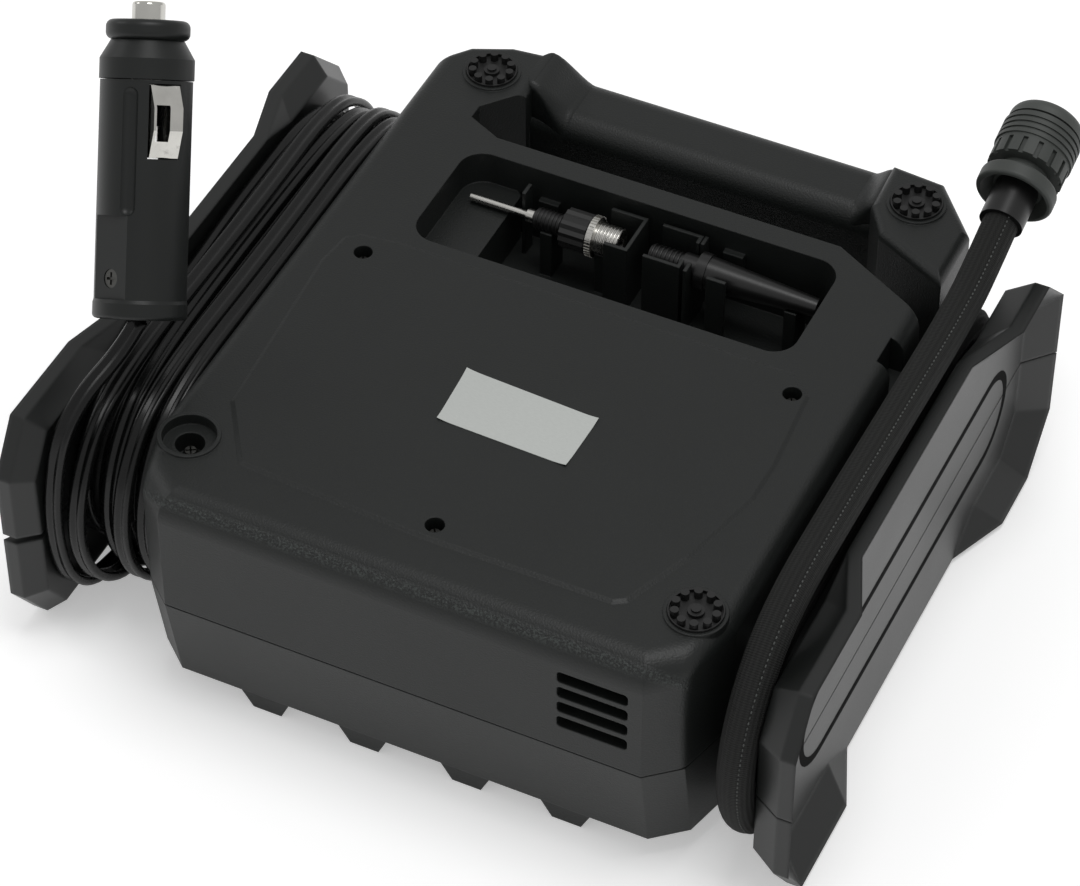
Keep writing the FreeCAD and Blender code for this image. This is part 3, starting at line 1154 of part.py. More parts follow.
def plug_collar():
    collar = rod(PLUG_COLLAR_RADIUS, (0, 0, PLUG_COLLAR + SEAT_GAP), (0, 0, PLUG_COLLAR_TOP))
    collar = collar.makeFillet(1.6, [e for e in collar.Edges if abs(e.Length - 2 * math.pi * PLUG_COLLAR_RADIUS) < 0.1])
    return along_plug(collar.cut(rod(PLUG_TIP_RADIUS + FIT_GAP, (0, 0, 0), (0, 0, 90))))


def plug_tip():
    """The sprung centre contact, held in by its wider foot."""
    tip = rod(PLUG_TIP_RADIUS, (0, 0, PLUG_COLLAR - 2), (0, 0, PLUG_LENGTH))
    edges = [e for e in tip.Edges if abs(e.CenterOfMass.z - PLUG_LENGTH) < 0.01]
    tip = tip.makeFillet(0.8, edges)
    foot = rod(PLUG_BORE - FIT_GAP, (0, 0, PLUG_COLLAR - 3.0), (0, 0, PLUG_COLLAR - SEAT_GAP))
    return along_plug(tip.fuse(foot))


def plug_fuse():
    """A glass tube fuse with its two caps."""
    return along_plug(rod(3.2, (0, 0, FUSE_LOW), (0, 0, FUSE_LOW + FUSE_LENGTH)))


def plug_spring():
    """The spring between the fuse and the tip, a plain sleeve of its outer size."""
    low = FUSE_LOW + FUSE_LENGTH + SEAT_GAP
    return along_plug(ring(3.4, 2.6, (0, 0, low), (0, 0, PLUG_COLLAR - 3.0 - SEAT_GAP)))


def plug_contact(side):
    """A folded strip that stands proud of its window."""
    inner = PLUG_BORE + CONTACT_TRAVEL + 0.6
    outer = PLUG_RADIUS - 0.2 + CONTACT_PROUD
    half = CONTACT_WIDTH / 2
    points = [(inner, CONTACT_LOW), (PLUG_RADIUS - 0.8, CONTACT_LOW), (outer, CONTACT_LOW + 6),
              (outer, CONTACT_HIGH - 5), (PLUG_RADIUS - 0.8, CONTACT_HIGH), (inner, CONTACT_HIGH)]
    corners = [v(x, -half, z) for x, z in points]
    strip = Part.Face(Part.makePolygon(corners + corners[:1])).extrude(v(0, 2 * half, 0))
    hollow = box((inner - 1, PLUG_RADIUS - 1.9), (-half - 1, half + 1), (CONTACT_LOW + 1.0, CONTACT_HIGH - 1.0))
    hole = box((inner, outer + 1), (-2.9, 0.4), (CONTACT_LOW + 3.6, CONTACT_HIGH - 4.4))
    return along_plug(turned(strip.cut(hollow).cut(hole), CONTACT_ANGLE + side))


def plug_screw():
    """The cross-head screw sunk in the plug's flat."""
    low = PLUG_RADIUS - PLUG_FLAT_DEPTH - PLUG_SCREW_SINK + SEAT_GAP
    high = PLUG_RADIUS - PLUG_FLAT_DEPTH - 0.2
    head = rod(PLUG_SCREW_RADIUS, (low, 0, PLUG_SCREW_HEIGHT), (high, 0, PLUG_SCREW_HEIGHT))
    for half_y, half_z in ((0.3, 1.4), (1.4, 0.3)):
        head = head.cut(box((high - 0.5, high + 1), (-half_y, half_y),
                            (PLUG_SCREW_HEIGHT - half_z, PLUG_SCREW_HEIGHT + half_z)))
    return along_plug(turned(head, PLUG_FLAT_ANGLE))


def along_pocket(shape, x):
    """Lay a piece made along +Z in the compartment, along X."""
    shape.rotate(v(0, 0, 0), v(0, 1, 0), 90)
    shape.translate(v(x, ITEM_Y, ITEM_Z))
    return shape


def ball_needle():
    """Thin needle, threaded base and knurled nut, with its tip towards -X."""
    needle = rod(0.9, (0, 0, 0), (0, 0, 16)).fuse(rod(1.6, (0, 0, 15), (0, 0, 18)))
    needle = needle.fuse(rod(2.5, (0, 0, 17.5), (0, 0, 25)))
    grip = [(4.9 if index % 2 else 4.5, math.pi * index / 14) for index in range(28)]
    knob = prism([(r * math.cos(a), r * math.sin(a)) for r, a in grip], 25, 31.5)
    return along_pocket(needle.fuse(knob), -44.0)


def valve_adapter():
    """Threaded metal adapter with a knurled flange."""
    body = rod(3.6, (0, 0, 0), (0, 0, 7.6)).fuse(rod(4.9, (0, 0, 0), (0, 0, 1.6)))
    return along_pocket(body.cut(rod(1.6, (0, 0, -1), (0, 0, 9))), -12.2)


def inflation_nozzle():
    """Tapered plastic nozzle with a threaded neck and a collar."""
    body = rod(2.6, (0, 0, 0), (0, 0, 9)).fuse(rod(3.2, (0, 0, 8.5), (0, 0, 13)))
    body = body.fuse(rod(4.6, (0, 0, 12.5), (0, 0, 15)))
    body = body.fuse(Part.makeCone(4.2, 2.2, 28, v(0, 0, 14.5), v(0, 0, 1)))
    return along_pocket(body.cut(rod(1.2, (0, 0, -1), (0, 0, 50))), 3.2)


def hose_union():
    """The brass elbow inside the wall that joins the air tube to the hose."""
    x, y, z = UNION
    block = box((x - 4, HALF_WIDTH - WALL - SEAT_GAP), (y, y + 9), (z - 5, z + 5))
    return block.fuse(rod(3.0, (x, y - 3, z), (x, y + 1, z)))


def air_tube():
    """The tube from the cylinder head to the hose's union."""
    z = AXIS_Z + 8
    end = (UNION[0], UNION[1] - 3 - SEAT_GAP, UNION[2])
    route = [(OUTLET_X, OUTLET_END + SEAT_GAP, z), (OUTLET_X, OUTLET_END + 15, z), *AIR_TUBE_BENDS,
             (UNION[0], UNION[1] - 18, UNION[2]), end]
    edges, radii = rounded_route(route)
    return sweep(edges, AIR_TUBE_RADIUS), edges, radii


def report_tube(name, edges, radius, shape, radii):
    volume = math.pi * radius ** 2 * path_length(edges)
    print(f"{name}: length {path_length(edges):.1f}, volume ratio {shape.Volume / volume:.4f},"
          f" radii {', '.join(f'{r:.0f}' for r in radii)}")


def least_gap(edges, radius, apart):
    """The least gap of a tube to itself, between points that lie apart along it."""
    points, along = [], 0.0
    for edge in edges:
        count = max(2, int(edge.Length / 3))
        for point in edge.discretize(count)[:-1]:
            if points:
                along += (point - points[-1][0]).Length
            points.append((point, along))
    least = 1e9
    for index, (point, place) in enumerate(points):
        for other, where in points[index + 1:]:
            if where - place > apart:
                least = min(least, (other - point).Length)
    return least - 2 * radius


def export(name, shape):
    placed = shape.copy()
    placed.translate(PLACE)
    placed.exportStep(f"parts/{name}.step")
    state = "" if placed.isValid() else " NOT VALID"
    print(f"{name}: {len(placed.Solids)} solids, {placed.Volume / 1000:.2f} cm3{state}")


def build():
    os.makedirs("parts", exist_ok=True)
    hose_path = hose_winding_path()
    cord_path = power_cord_path()
    hose_route, hose_radii = rounded_route(hose_end_route())
    cord_route, cord_radii = rounded_route(power_cord_end_route())
    tube, tube_path, tube_radii = air_tube()
    pieces = {
        "rear_shell": rear_shell(),
        "front_shell": front_shell(),
        "left_wrap_rear": wrap(-1, True),
        "left_wrap_front": wrap(-1, False),
        "right_wrap_rear": wrap(1, True),
        "right_wrap_front": wrap(1, False),
        "rubber_feet": rubber_feet(),
        "housing_screws": housing_screws(),
        "display_window": display_window(),
        "lcd_module": lcd_module(),
        "control_board": control_board(),
        "light_lens": light_lens(),
        "work_light": work_light(),
        "motor_can": motor_can(),
        "motor_end_bell": motor_end_bell(),
        "armature": armature(),
        "motor_shaft": motor_shaft(),
        "motor_pinion": motor_pinion(),
        "drive_gear": drive_gear(),
        "crank_shaft": crank_shaft(),
        "crank_pin": crank_pin(),
        "pump_frame": pump_frame(),
        "cylinder": cylinder(),
        "cylinder_head": cylinder_head(),
        "head_screws": head_screws(),
        "piston": piston(),
        "piston_seal": piston_seal(),
        "connecting_rod": connecting_rod(),
        "air_tube": tube,
        "hose_union": hose_union(),
        "hose_gland": hose_gland(),
        "hose_winding": sweep(hose_path, HOSE_RADIUS),
        "hose_end": sweep(hose_route, HOSE_RADIUS),
        "hose_ferrule": hose_ferrule(),
        "chuck_body": chuck_body(),
        "chuck_sleeve": chuck_sleeve(),
        "chuck_cap": chuck_cap(),
        "chuck_seal": chuck_seal(),
        "valve_depressor": valve_depressor(),
        "cord_gland": cord_gland(),
        "power_cord_core": power_cord_core(),
        "power_cord_winding": sweep(cord_path, CORD_RADIUS),
        "power_cord_end": sweep(cord_route, CORD_RADIUS),
        "plug_body": plug_body(),
        "plug_cap": plug_cap(),
        "plug_collar": plug_collar(),
        "plug_tip": plug_tip(),
        "plug_spring": plug_spring(),
        "plug_fuse": plug_fuse(),
        "plug_contact_right": plug_contact(0),
        "plug_contact_left": plug_contact(180),
        "plug_screw": plug_screw(),
        "ball_needle": ball_needle(),
        "valve_adapter": valve_adapter(),
        "inflation_nozzle": inflation_nozzle(),
    }
    for name, place in BUTTONS.items():
        pieces[name] = button(*place)
    for name, shape in pieces.items():
        export(name, shape)
    report_tube("hose_winding", hose_path, HOSE_RADIUS, pieces["hose_winding"], [HOSE_INNER_TURN, HOSE_OUTER_TURN])
    report_tube("hose_end", hose_route, HOSE_RADIUS, pieces["hose_end"], hose_radii)
    report_tube("power_cord_winding", cord_path, CORD_RADIUS, pieces["power_cord_winding"], [CORD_TURN])
    report_tube("power_cord_end", cord_route, CORD_RADIUS, pieces["power_cord_end"], cord_radii)
    report_tube("air_tube", tube_path, AIR_TUBE_RADIUS, tube, tube_radii)
    print(f"hose least gap to itself {least_gap(hose_path, HOSE_RADIUS, 60):.2f}")
    print(f"cord least gap to itself {least_gap(cord_path, CORD_RADIUS, 30):.2f}")


build()
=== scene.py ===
# %% [markdown]
# # A portable tire inflator
# The object is a flat 12 V tire inflator that lies on its display face, with its power cord and
# its hose wound on its two sides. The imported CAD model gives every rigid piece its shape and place.
# This lesson gives those pieces their finishes, winds the two cords and adds the small things.

import math

import bmesh
import bpy
from mathutils import Matrix, Vector


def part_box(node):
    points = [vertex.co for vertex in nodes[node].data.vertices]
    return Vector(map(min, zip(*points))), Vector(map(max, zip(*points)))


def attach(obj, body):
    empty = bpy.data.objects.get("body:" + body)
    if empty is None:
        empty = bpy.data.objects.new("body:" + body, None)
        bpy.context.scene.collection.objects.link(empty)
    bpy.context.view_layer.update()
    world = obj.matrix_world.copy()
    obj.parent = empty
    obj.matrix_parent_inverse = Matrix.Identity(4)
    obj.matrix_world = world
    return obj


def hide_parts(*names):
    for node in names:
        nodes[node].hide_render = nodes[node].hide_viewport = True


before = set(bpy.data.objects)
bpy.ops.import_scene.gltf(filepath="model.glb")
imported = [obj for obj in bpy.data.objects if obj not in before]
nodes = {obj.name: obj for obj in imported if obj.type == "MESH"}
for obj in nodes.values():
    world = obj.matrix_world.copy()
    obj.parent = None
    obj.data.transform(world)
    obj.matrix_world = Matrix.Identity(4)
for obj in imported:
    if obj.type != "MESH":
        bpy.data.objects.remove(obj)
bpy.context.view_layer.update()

# %% [markdown]
# The part was drawn in millimetres from the middle of its near wall. One helper turns such a point
# into metres in the frame, so each number below can be compared with a drawing of the object.

# %% Millimetres to metres
MIDDLE_X = -4.5
MIDDLE_Y = 90.0
HEIGHT = 67.0
SEAM = 33.2


def place(x, y, z):
    return Vector(((x - MIDDLE_X) / 1000, (y - MIDDLE_Y) / 1000, z / 1000))


print("base face at", place(0, 70, HEIGHT))

# %% [markdown]
# ## Camera
# The camera stands where the object's straight edges say that it stood: high on the near right,
# with a long lens. It could be framed by eye, but then no length could be compared. Its lens is
# worked out from the focal length in pixels of a 1080 pixel wide image.

# %% Camera
FOCAL_PIXELS = 4184.6
IMAGE_WIDTH = 1080
SENSOR_WIDTH = 36
EYE = Vector((0.2957, -0.6268, 0.7286))
LOOKING = Vector((-0.303, 0.634, -0.712))

camera = bpy.data.objects.new("camera", bpy.data.cameras.new("camera"))
camera.data.sensor_width = SENSOR_WIDTH
camera.data.lens = SENSOR_WIDTH * FOCAL_PIXELS / IMAGE_WIDTH
camera.location = EYE
camera.rotation_euler = LOOKING.to_track_quat("-Z", "Y").to_euler()
bpy.context.scene.collection.objects.link(camera)
bpy.context.scene.camera = camera
bpy.context.scene.view_settings.view_transform = "Standard"
print("lens", round(camera.data.lens, 2), "mm")

# %% [markdown]
# ## The cords' lines
# A cord is one smooth curve. It could be drawn with Bezier handles, but a NURBS spline of the third
# order needs only the corners of the route that the part was drawn with, and runs inside them. Each
# half turn round a wrap is five corners of a ten-sided figure drawn round the circle, so the spline
# keeps the circle's size.

# %% Corners of a half turn
def half_turn(x, y, z, radius, outward, upward):
    """Five corners at the near end (outward -1) or the far end (outward 1), going up or down."""
    reach = radius / math.cos(math.radians(18))
    angles = [math.radians(36 * step - 72) for step in range(5)]
    return [(x, y + outward * reach * math.cos(angle), z + upward * reach * math.sin(angle))
            for angle in angles]


def smooth_line(name, corners):
    """The points of a NURBS spline through a route given in millimetres."""
    curve = bpy.data.curves.new(name, "CURVE")
    curve.dimensions = "3D"
    curve.resolution_u = 8
    spline = curve.splines.new("NURBS")
    spline.points.add(len(corners) - 1)
    for point, corner in zip(spline.points, corners):
        point.co = (*place(*corner), 1)
    spline.order_u = 3
    spline.use_endpoint_u = True
    holder = bpy.data.objects.new(name, curve)
    bpy.context.scene.collection.objects.link(holder)
    evaluated = holder.evaluated_get(bpy.context.evaluated_depsgraph_get())
    mesh = bpy.data.meshes.new_from_object(evaluated)
    line = [vertex.co.copy() for vertex in mesh.vertices]
    bpy.data.objects.remove(holder)
    return line


def line_length(line):
    return sum((b - a).length for a, b in zip(line, line[1:]))


print("a half turn has", len(half_turn(0, 0, 0, 1, 1, 1)), "corners")

# %% [markdown]
# The hose leaves its gland under the right wrap, goes once round the hub, and then round the near
# end again on a larger turn before it runs along the top to the chuck. The larger turn also lies a
# little further from the housing, as one wound by hand does.

# %% Hose line
HOSE_INNER_X, HOSE_OUTER_X = 76.2, 78.6
HOSE_NEAR_AXLE, HOSE_FAR_AXLE = 38.0, 128.0
CHUCK_FOOT = (78.6, 155.1, 75.4)
hose_corners = [(HOSE_INNER_X, 97.0, 15.7), (HOSE_INNER_X, 68.0, 15.7)]
hose_corners += half_turn(HOSE_INNER_X, HOSE_NEAR_AXLE, 36.7, 21.0, -1, 1)
hose_corners += [(HOSE_INNER_X, 83.0, 57.7)]
hose_corners += half_turn(HOSE_INNER_X, HOSE_FAR_AXLE, 31.45, 26.25, 1, -1)
hose_corners += [(77.4, 83.0, 5.2)]
hose_corners += half_turn(HOSE_OUTER_X, HOSE_NEAR_AXLE, 37.6, 32.4, -1, 1)
hose_corners += [(HOSE_OUTER_X, 60.0, 70.2), (78.9, 95.0, 69.8), (79.2, 130.0, 70.0),
                 (78.8, 146.4, 73.1), CHUCK_FOOT]
hose_line = smooth_line("hose line", hose_corners)
print("hose line", round(line_length(hose_line), 3), "m")

# %% [markdown]
# The power cord is a flat twin cord, 3 m long. It leaves the wall at the top of the left hub, winds
# outwards in four inner turns, crosses back over them, and winds outwards again in outer turns. A
# table gives each outer turn its own place and size, because no two turns wound by hand are alike.
# The last two hang loose round the near end before the cord climbs to the plug.

# %% Power cord line
NEAR_AXLE, FAR_AXLE = 46.0, 127.5
CORD_EXIT = (-71.6, 84.0, 59.4)
INNER_X, INNER_TURN = (-73.6, -78.3, -82.9, -87.5, -92.0), 24.6
CROSSING_X, CROSSING_TURN = -91.6, 27.2
OUTER_TURNS = (  # x, radius, near axle, far axle, and how far the top run strays aside and up
    (-73.3, 29.9, 46.5, 127.0, 0.5, 0.4),
    (-77.9, 30.3, 44.6, 128.2, 1.6, 1.2),
    (-82.5, 30.0, 47.2, 126.6, -0.8, 0.2),
    (-87.2, 31.0, 41.0, 128.0, 1.9, 1.5),
)
LAST_X, LAST_TURN, LAST_NEAR = -91.8, 31.6, 38.0
PLUG_FOOT = (-81.0, 34.6, 83.0)

cord_corners = [CORD_EXIT, (-73.9, 84.6, 59.4), (-74.2, 92.0, 58.6), (-73.8, 106.0, 57.8)]
for x, next_x in zip(INNER_X, INNER_X[1:]):
    cord_corners += half_turn(x, FAR_AXLE, SEAM, INNER_TURN, 1, -1)
    cord_corners += [((x + next_x) / 2, 87.0, SEAM - INNER_TURN)]
    cord_corners += half_turn(next_x, NEAR_AXLE, SEAM, INNER_TURN, -1, 1)
    if next_x != INNER_X[-1]:
        cord_corners += [(next_x, 87.0, SEAM + INNER_TURN)]
cord_corners += [(-92.0, 75.0, SEAM + INNER_TURN), (-91.8, 100.0, SEAM + CROSSING_TURN)]
cord_corners += half_turn(CROSSING_X, FAR_AXLE, SEAM, CROSSING_TURN, 1, -1)
cord_corners += [(-84.0, 100.0, 6.0), (-75.6, 74.0, 5.8)]
later_x = [turn[0] for turn in OUTER_TURNS[1:]] + [LAST_X]
for index, (x, radius, near, far, aside, lift) in enumerate(OUTER_TURNS):
    cord_corners += half_turn(x, near, SEAM, radius, -1, 1)
    cord_corners += [(x + aside, 80.0 + 5 * index, SEAM + radius + lift)]
    cord_corners += half_turn(x, far, SEAM, radius, 1, -1)
    cord_corners += [((x + later_x[index]) / 2, 88.0, SEAM - radius)]
cord_corners += half_turn(LAST_X, LAST_NEAR, SEAM, LAST_TURN, -1, 1)[:2]
cord_corners += [(-92.2, 7.4, 36.0), (-91.4, 11.3, 58.4), (-88.9, 20.0, 68.6), (-83.2, 30.6, 76.6),
                 PLUG_FOOT]
cord_line = smooth_line("power cord line", cord_corners)
print("power cord line", round(line_length(cord_line), 3), "m")

# %% [markdown]
# ## Shader helpers
# A finish could be wired by hand in the shader editor, but its maths reads best as sums and
# products. `Value` holds a socket and turns each operator into a Math node. `Finish` is a material
# with one method that adds any other node.

# %% Shader expressions
class Value:
    """A node's output, on which arithmetic adds Math nodes."""

    def __init__(self, finish, socket):
        self.finish = finish
        self.socket = socket

    def beside(self, name):
        """Another output of the same node."""
        return Value(self.finish, self.socket.node.outputs[name])

    def __add__(self, other):
        return self.finish.math("ADD", self, other)

    def __sub__(self, other):
        return self.finish.math("SUBTRACT", self, other)

    def __rsub__(self, other):
        return self.finish.math("SUBTRACT", other, self)

    def __mul__(self, other):
        return self.finish.math("MULTIPLY", self, other)

    __radd__ = __add__
    __rmul__ = __mul__


def colour(*parts):
    """A grey, or red, green and blue, as a socket's colour."""
    return (*(parts * 3)[:3], 1)


class Finish:
    """A material built from nodes."""

    def __init__(self, name):
        self.material = bpy.data.materials.new(name)
        self.material.use_nodes = True
        self.tree = self.material.node_tree
        self.tree.nodes.clear()

    def node(self, kind, settings=None, inputs=None, output=0):
        """Add a node: its settings first, then its inputs' links and values."""
        made = self.tree.nodes.new(kind)
        for name, setting in (settings or {}).items():
            if name == "stops":
                self.stops(made.color_ramp, setting)
            else:
                setattr(made, name, setting)
        for key, value in (inputs or {}).items():
            if isinstance(value, Value):
                self.tree.links.new(value.socket, made.inputs[key])
            else:
                made.inputs[key].default_value = value
        return Value(self, made.outputs[output] if made.outputs else None)

    def math(self, operation, first, second=0.0):
        return self.node("ShaderNodeMath", {"operation": operation}, {0: first, 1: second})

    def stops(self, ramp, stops):
        while len(ramp.elements) < len(stops):
            ramp.elements.new(1.0)
        for element, (position, grey) in zip(ramp.elements, stops):
            element.position = position
            element.color = colour(grey)

    def coordinates(self, kind="Object"):
        return self.node("ShaderNodeTexCoord").beside(kind)

    def axis(self, letter, kind="Object"):
        """One of the coordinates by its letter."""
        return self.node("ShaderNodeSeparateXYZ", {}, {0: self.coordinates(kind)}).beside(letter)

    def noise(self, scale, detail=2.0, squeeze=None):
        """Smooth noise with so many lumps in a metre, squeezed by a number for each axis."""
        where = self.coordinates()
        if squeeze:
            where = self.node("ShaderNodeMapping", {}, {"Vector": where, "Scale": squeeze})
        inputs = {"Vector": where, "Scale": scale, "Detail": detail}
        return self.node("ShaderNodeTexNoise", {}, inputs)

    def ramp(self, factor, *stops):
        return self.node("ShaderNodeValToRGB", {"stops": stops}, {"Fac": factor})

    def mix(self, factor, first, second, blend="MIX"):
        settings = {"data_type": "RGBA", "blend_type": blend}
        return self.node("ShaderNodeMix", settings, {0: factor, 6: first, 7: second}, output=2)

    def tinted(self, shade, tint):
        """A colour made darker or lighter by a grey that varies."""
        return self.mix(1.0, colour(*shade), tint, "MULTIPLY")

    def bump(self, height, depth_mm, normal=None):
        inputs = {"Height": height, "Distance": depth_mm / 1000, "Strength": 1.0}
        if normal is not None:
            inputs["Normal"] = normal
        return self.node("ShaderNodeBump", {}, inputs)

    def surface(self, **inputs):
        """End the material in a Principled shader. Names are its sockets', with _ for a space."""
        sockets = {name.replace("_", " "): value for name, value in inputs.items()}
        shader = self.node("ShaderNodeBsdfPrincipled", {}, sockets)
        self.node("ShaderNodeOutputMaterial", {}, {"Surface": shader})
        return self.material


print("shader helpers ready")

# %% [markdown]
# ## Floor and light
# The object lies on a white sweep. More light would make it white too, but would wash the object
# out. Instead the floor glows a little where the camera sees it, and less in reflections, through
# Light Path. A diffuse part under the glow keeps the object's shadow.

# %% Floor
PAPER_WHITE, FLOOR_GLOW, MIRRORED_GLOW = 0.92, 0.36, 0.5
FLOOR_HALF, FLOOR_LEVEL = 6.0, -0.0003

sweep = Finish("white sweep")
seen = sweep.node("ShaderNodeLightPath").beside("Is Camera Ray")
mirrored = seen.beside("Is Glossy Ray")
paper = sweep.node("ShaderNodeBsdfDiffuse", {}, {"Color": colour(PAPER_WHITE)})
glow = sweep.node("ShaderNodeEmission", {}, {"Color": colour(1.0), "Strength": FLOOR_GLOW})
lit = sweep.node("ShaderNodeAddShader", {}, {0: paper, 1: glow})
share = seen + mirrored * MIRRORED_GLOW
shown = sweep.node("ShaderNodeMixShader", {}, {"Fac": share, 1: paper, 2: lit})
sweep.node("ShaderNodeOutputMaterial", {}, {"Surface": shown})

floor_mesh = bpy.data.meshes.new("floor")
corners = [(x * FLOOR_HALF, y * FLOOR_HALF) for x, y in ((-1, -1), (1, -1), (1, 1), (-1, 1))]
floor_mesh.from_pydata([(*corner, FLOOR_LEVEL) for corner in corners], [], [(0, 1, 2, 3)])
floor_mesh.materials.append(sweep.material)
floor = bpy.data.objects.new("floor", floor_mesh)
bpy.context.scene.collection.objects.link(floor)
print("floor", 2 * FLOOR_HALF, "m wide")

# %% [markdown]
# The world is an even grey that fills the shadows, and shows as white to the camera. Two soft round
# lamps shape the object. Black plastic shows mostly what it mirrors, so the large lamp hangs where
# the base face mirrors none of it towards the camera.

# %% World and lamps
WORLD_LIGHT = 0.52
world = bpy.data.worlds.new("studio")
world.use_nodes = True
background = world.node_tree.nodes["Background"]
background.inputs["Color"].default_value = colour(1.0)
rays = world.node_tree.nodes.new("ShaderNodeLightPath")
strength = world.node_tree.nodes.new("ShaderNodeMapRange")
strength.inputs["To Min"].default_value = WORLD_LIGHT
strength.inputs["To Max"].default_value = 1.0
world.node_tree.links.new(rays.outputs["Is Camera Ray"], strength.inputs["Value"])
world.node_tree.links.new(strength.outputs["Result"], background.inputs["Strength"])
bpy.context.scene.world = world


def lamp(name, at, aim, size, power):
    """A round lamp of a size in metres and a power in watts."""
    light = bpy.data.lights.new(name, "AREA")
    light.shape = "DISK"
    light.size = size
    light.energy = power
    holder = bpy.data.objects.new(name, light)
    holder.location = at
    holder.rotation_euler = (Vector(aim) - Vector(at)).to_track_quat("-Z", "Y").to_euler()
    bpy.context.scene.collection.objects.link(holder)


lamp("overhead", (0.2, 0.0, 1.8), (0, 0, 0), 0.9, 10.0)
lamp("left", (-1.3, -0.1, 0.8), (0, 0, 0.03), 0.5, 1.5)

# %% [markdown]
# ## Finishes
# The housing is moulded in black plastic with a fine spark-eroded grain. The grain could be
# sculpted, but it is too small to see as shapes, so it is a bump. On the base face's near edge
# the grain is rougher, and lighter specks in the colour there are a painted glint. Handling
# polishes the plastic in broad patches, so the roughness and the shade wander a little. A Bevel
# node softens the CAD's sharp edges.

# %% Moulded plastic
BROAD_PATCHES, HANDLING, GLINT_SPECKS = 28, 140, 1900


def near_edge(finish):
    """1 along the middle of the rounded near edge of the base face, and 0 elsewhere."""
    y, z = finish.axis("Y"), finish.axis("Z")
    from_wall = finish.ramp((y + MIDDLE_Y / 1000) * 100, (0.55, 1.0), (0.85, 0.0))
    height = finish.ramp((z - 0.055) * 100, (0.05, 0.0), (0.35, 1.0))
    from_middle = finish.math("ABSOLUTE", (y + z) * 1000 + (MIDDLE_Y - HEIGHT))
    return from_wall * height * finish.ramp(from_middle * 0.33, (0.25, 1.0), (0.8, 0.0))


def moulded(name, shade, rough, grain_mm, grain_depth, patch=0.12, gloss=0.5, round_mm=0.0,
            edge_grain_and_glint=0.0):
    finish = Finish(name)
    grain = finish.noise(1000 / grain_mm, 3.0)
    patches = finish.noise(BROAD_PATCHES)
    worn = patches * 0.6 + finish.noise(HANDLING, 3.0) * 0.4
    tint = finish.ramp(worn, (0.3, 1 - patch), (0.7, 1.0))
    relief, edges = grain, None
    if edge_grain_and_glint:
        coarse_grain_and_glint = near_edge(finish) * edge_grain_and_glint
        relief = grain + grain * coarse_grain_and_glint
        # Lighter specks in the colour along the near edge: a painted glint.
        tint = tint + finish.ramp(finish.noise(GLINT_SPECKS), (0.48, 0.0), (0.62, 1.0)) * coarse_grain_and_glint
    if round_mm:
        edges = finish.node("ShaderNodeBevel", {"samples": 4}, {"Radius": round_mm / 1000})
    return finish.surface(Base_Color=finish.tinted(shade, tint),
                          Roughness=rough + patches * 0.1 + grain * 0.06 - 0.08,
                          Specular_IOR_Level=gloss,
                          Normal=finish.bump(relief, grain_depth, edges))


housing_plastic = moulded("housing plastic", (0.0092, 0.0108, 0.0101), 0.43, 0.45, 0.09, gloss=0.41,
                          round_mm=0.5, edge_grain_and_glint=3.0)
wrap_plastic = moulded("wrap plastic", (0.0088, 0.0098, 0.0093), 0.34, 0.5, 0.012, round_mm=1.2)
plug_plastic = moulded("plug plastic", (0.0072, 0.0086, 0.008), 0.42, 0.3, 0.02, gloss=0.4)
chuck_plastic = moulded("chuck plastic", (0.046, 0.051, 0.047), 0.52, 0.3, 0.03)
cap_plastic = moulded("chuck cap plastic", (0.06, 0.066, 0.061), 0.52, 0.3, 0.03)
groove_shade_black = moulded("painted groove shade", (0.003, 0.003, 0.003), 0.8, 0.3, 0.02, gloss=0.06)
smooth_plastic = moulded("smooth black plastic", (0.006, 0.006, 0.006), 0.34, 0.5, 0.008)
rubber = moulded("black rubber", (0.006, 0.006, 0.006), 0.5, 0.25, 0.02)
nylon = moulded("white nylon", (0.72, 0.72, 0.67), 0.4, 0.6, 0.01, patch=0.04)
print("moulded finishes ready")

# %% [markdown]
# The metal pieces are small: screws, shafts, springs and plated fittings. A picture of metal would
# blur on them, so their finish is a fine brushing and a few darker specks. The plug's plating is
# polished instead, with a soft waviness, and scuffs that only change the roughness.

# %% Metals
BRUSHING, SPECKS, WAVES, SCUFFS = 2600, 500, 220, 700


def metal(name, shade, rough, squeeze=(1, 1, 1)):
    finish = Finish(name)
    brushed = finish.noise(BRUSHING, 3.0, squeeze)
    specks = finish.ramp(finish.noise(SPECKS, 4.0), (0.28, 0.55), (0.42, 1.0))
    return finish.surface(Base_Color=finish.tinted(shade, specks), Metallic=1.0,
                          Roughness=rough + brushed * 0.16, Normal=finish.bump(brushed, 0.01))


def polished(name, shade):
    finish = Finish(name)
    waves = finish.noise(WAVES)
    tint = finish.ramp(waves, (0.3, 0.88), (0.7, 1.0))
    scuffs = finish.ramp(finish.noise(SCUFFS, 4.0), (0.5, 0.0), (0.75, 0.22))
    return finish.surface(Base_Color=finish.tinted(shade, tint), Metallic=1.0,
                          Roughness=scuffs + 0.07, Normal=finish.bump(waves, 0.03))


plated = metal("nickel plate", (0.62, 0.61, 0.58), 0.2)
polished_plate = polished("polished plate", (0.7, 0.69, 0.65))
dark_steel = metal("blackened steel", (0.1, 0.1, 0.095), 0.3)
brass = metal("brass", (0.72, 0.5, 0.2), 0.25)
copper = metal("copper winding", (0.72, 0.33, 0.16), 0.35, (0.1, 3, 3))
cast = metal("cast metal", (0.5, 0.5, 0.5), 0.5)
print("metals ready")

# %% [markdown]
# The display window and the work light's lens are clear plastic, which real transmission shows
# better than a pale paint. Behind the window lies the grey glass of a display that is off, on a
# green board. Display, board, symbol print and hose thread are each two close colours in spots.

# %% Window, display, board and print
HAZE = 300


def clear(name):
    finish = Finish(name)
    return finish.surface(Base_Color=colour(0.85), Roughness=finish.noise(HAZE) * 0.08 + 0.02,
                          Transmission_Weight=1.0, IOR=1.49)


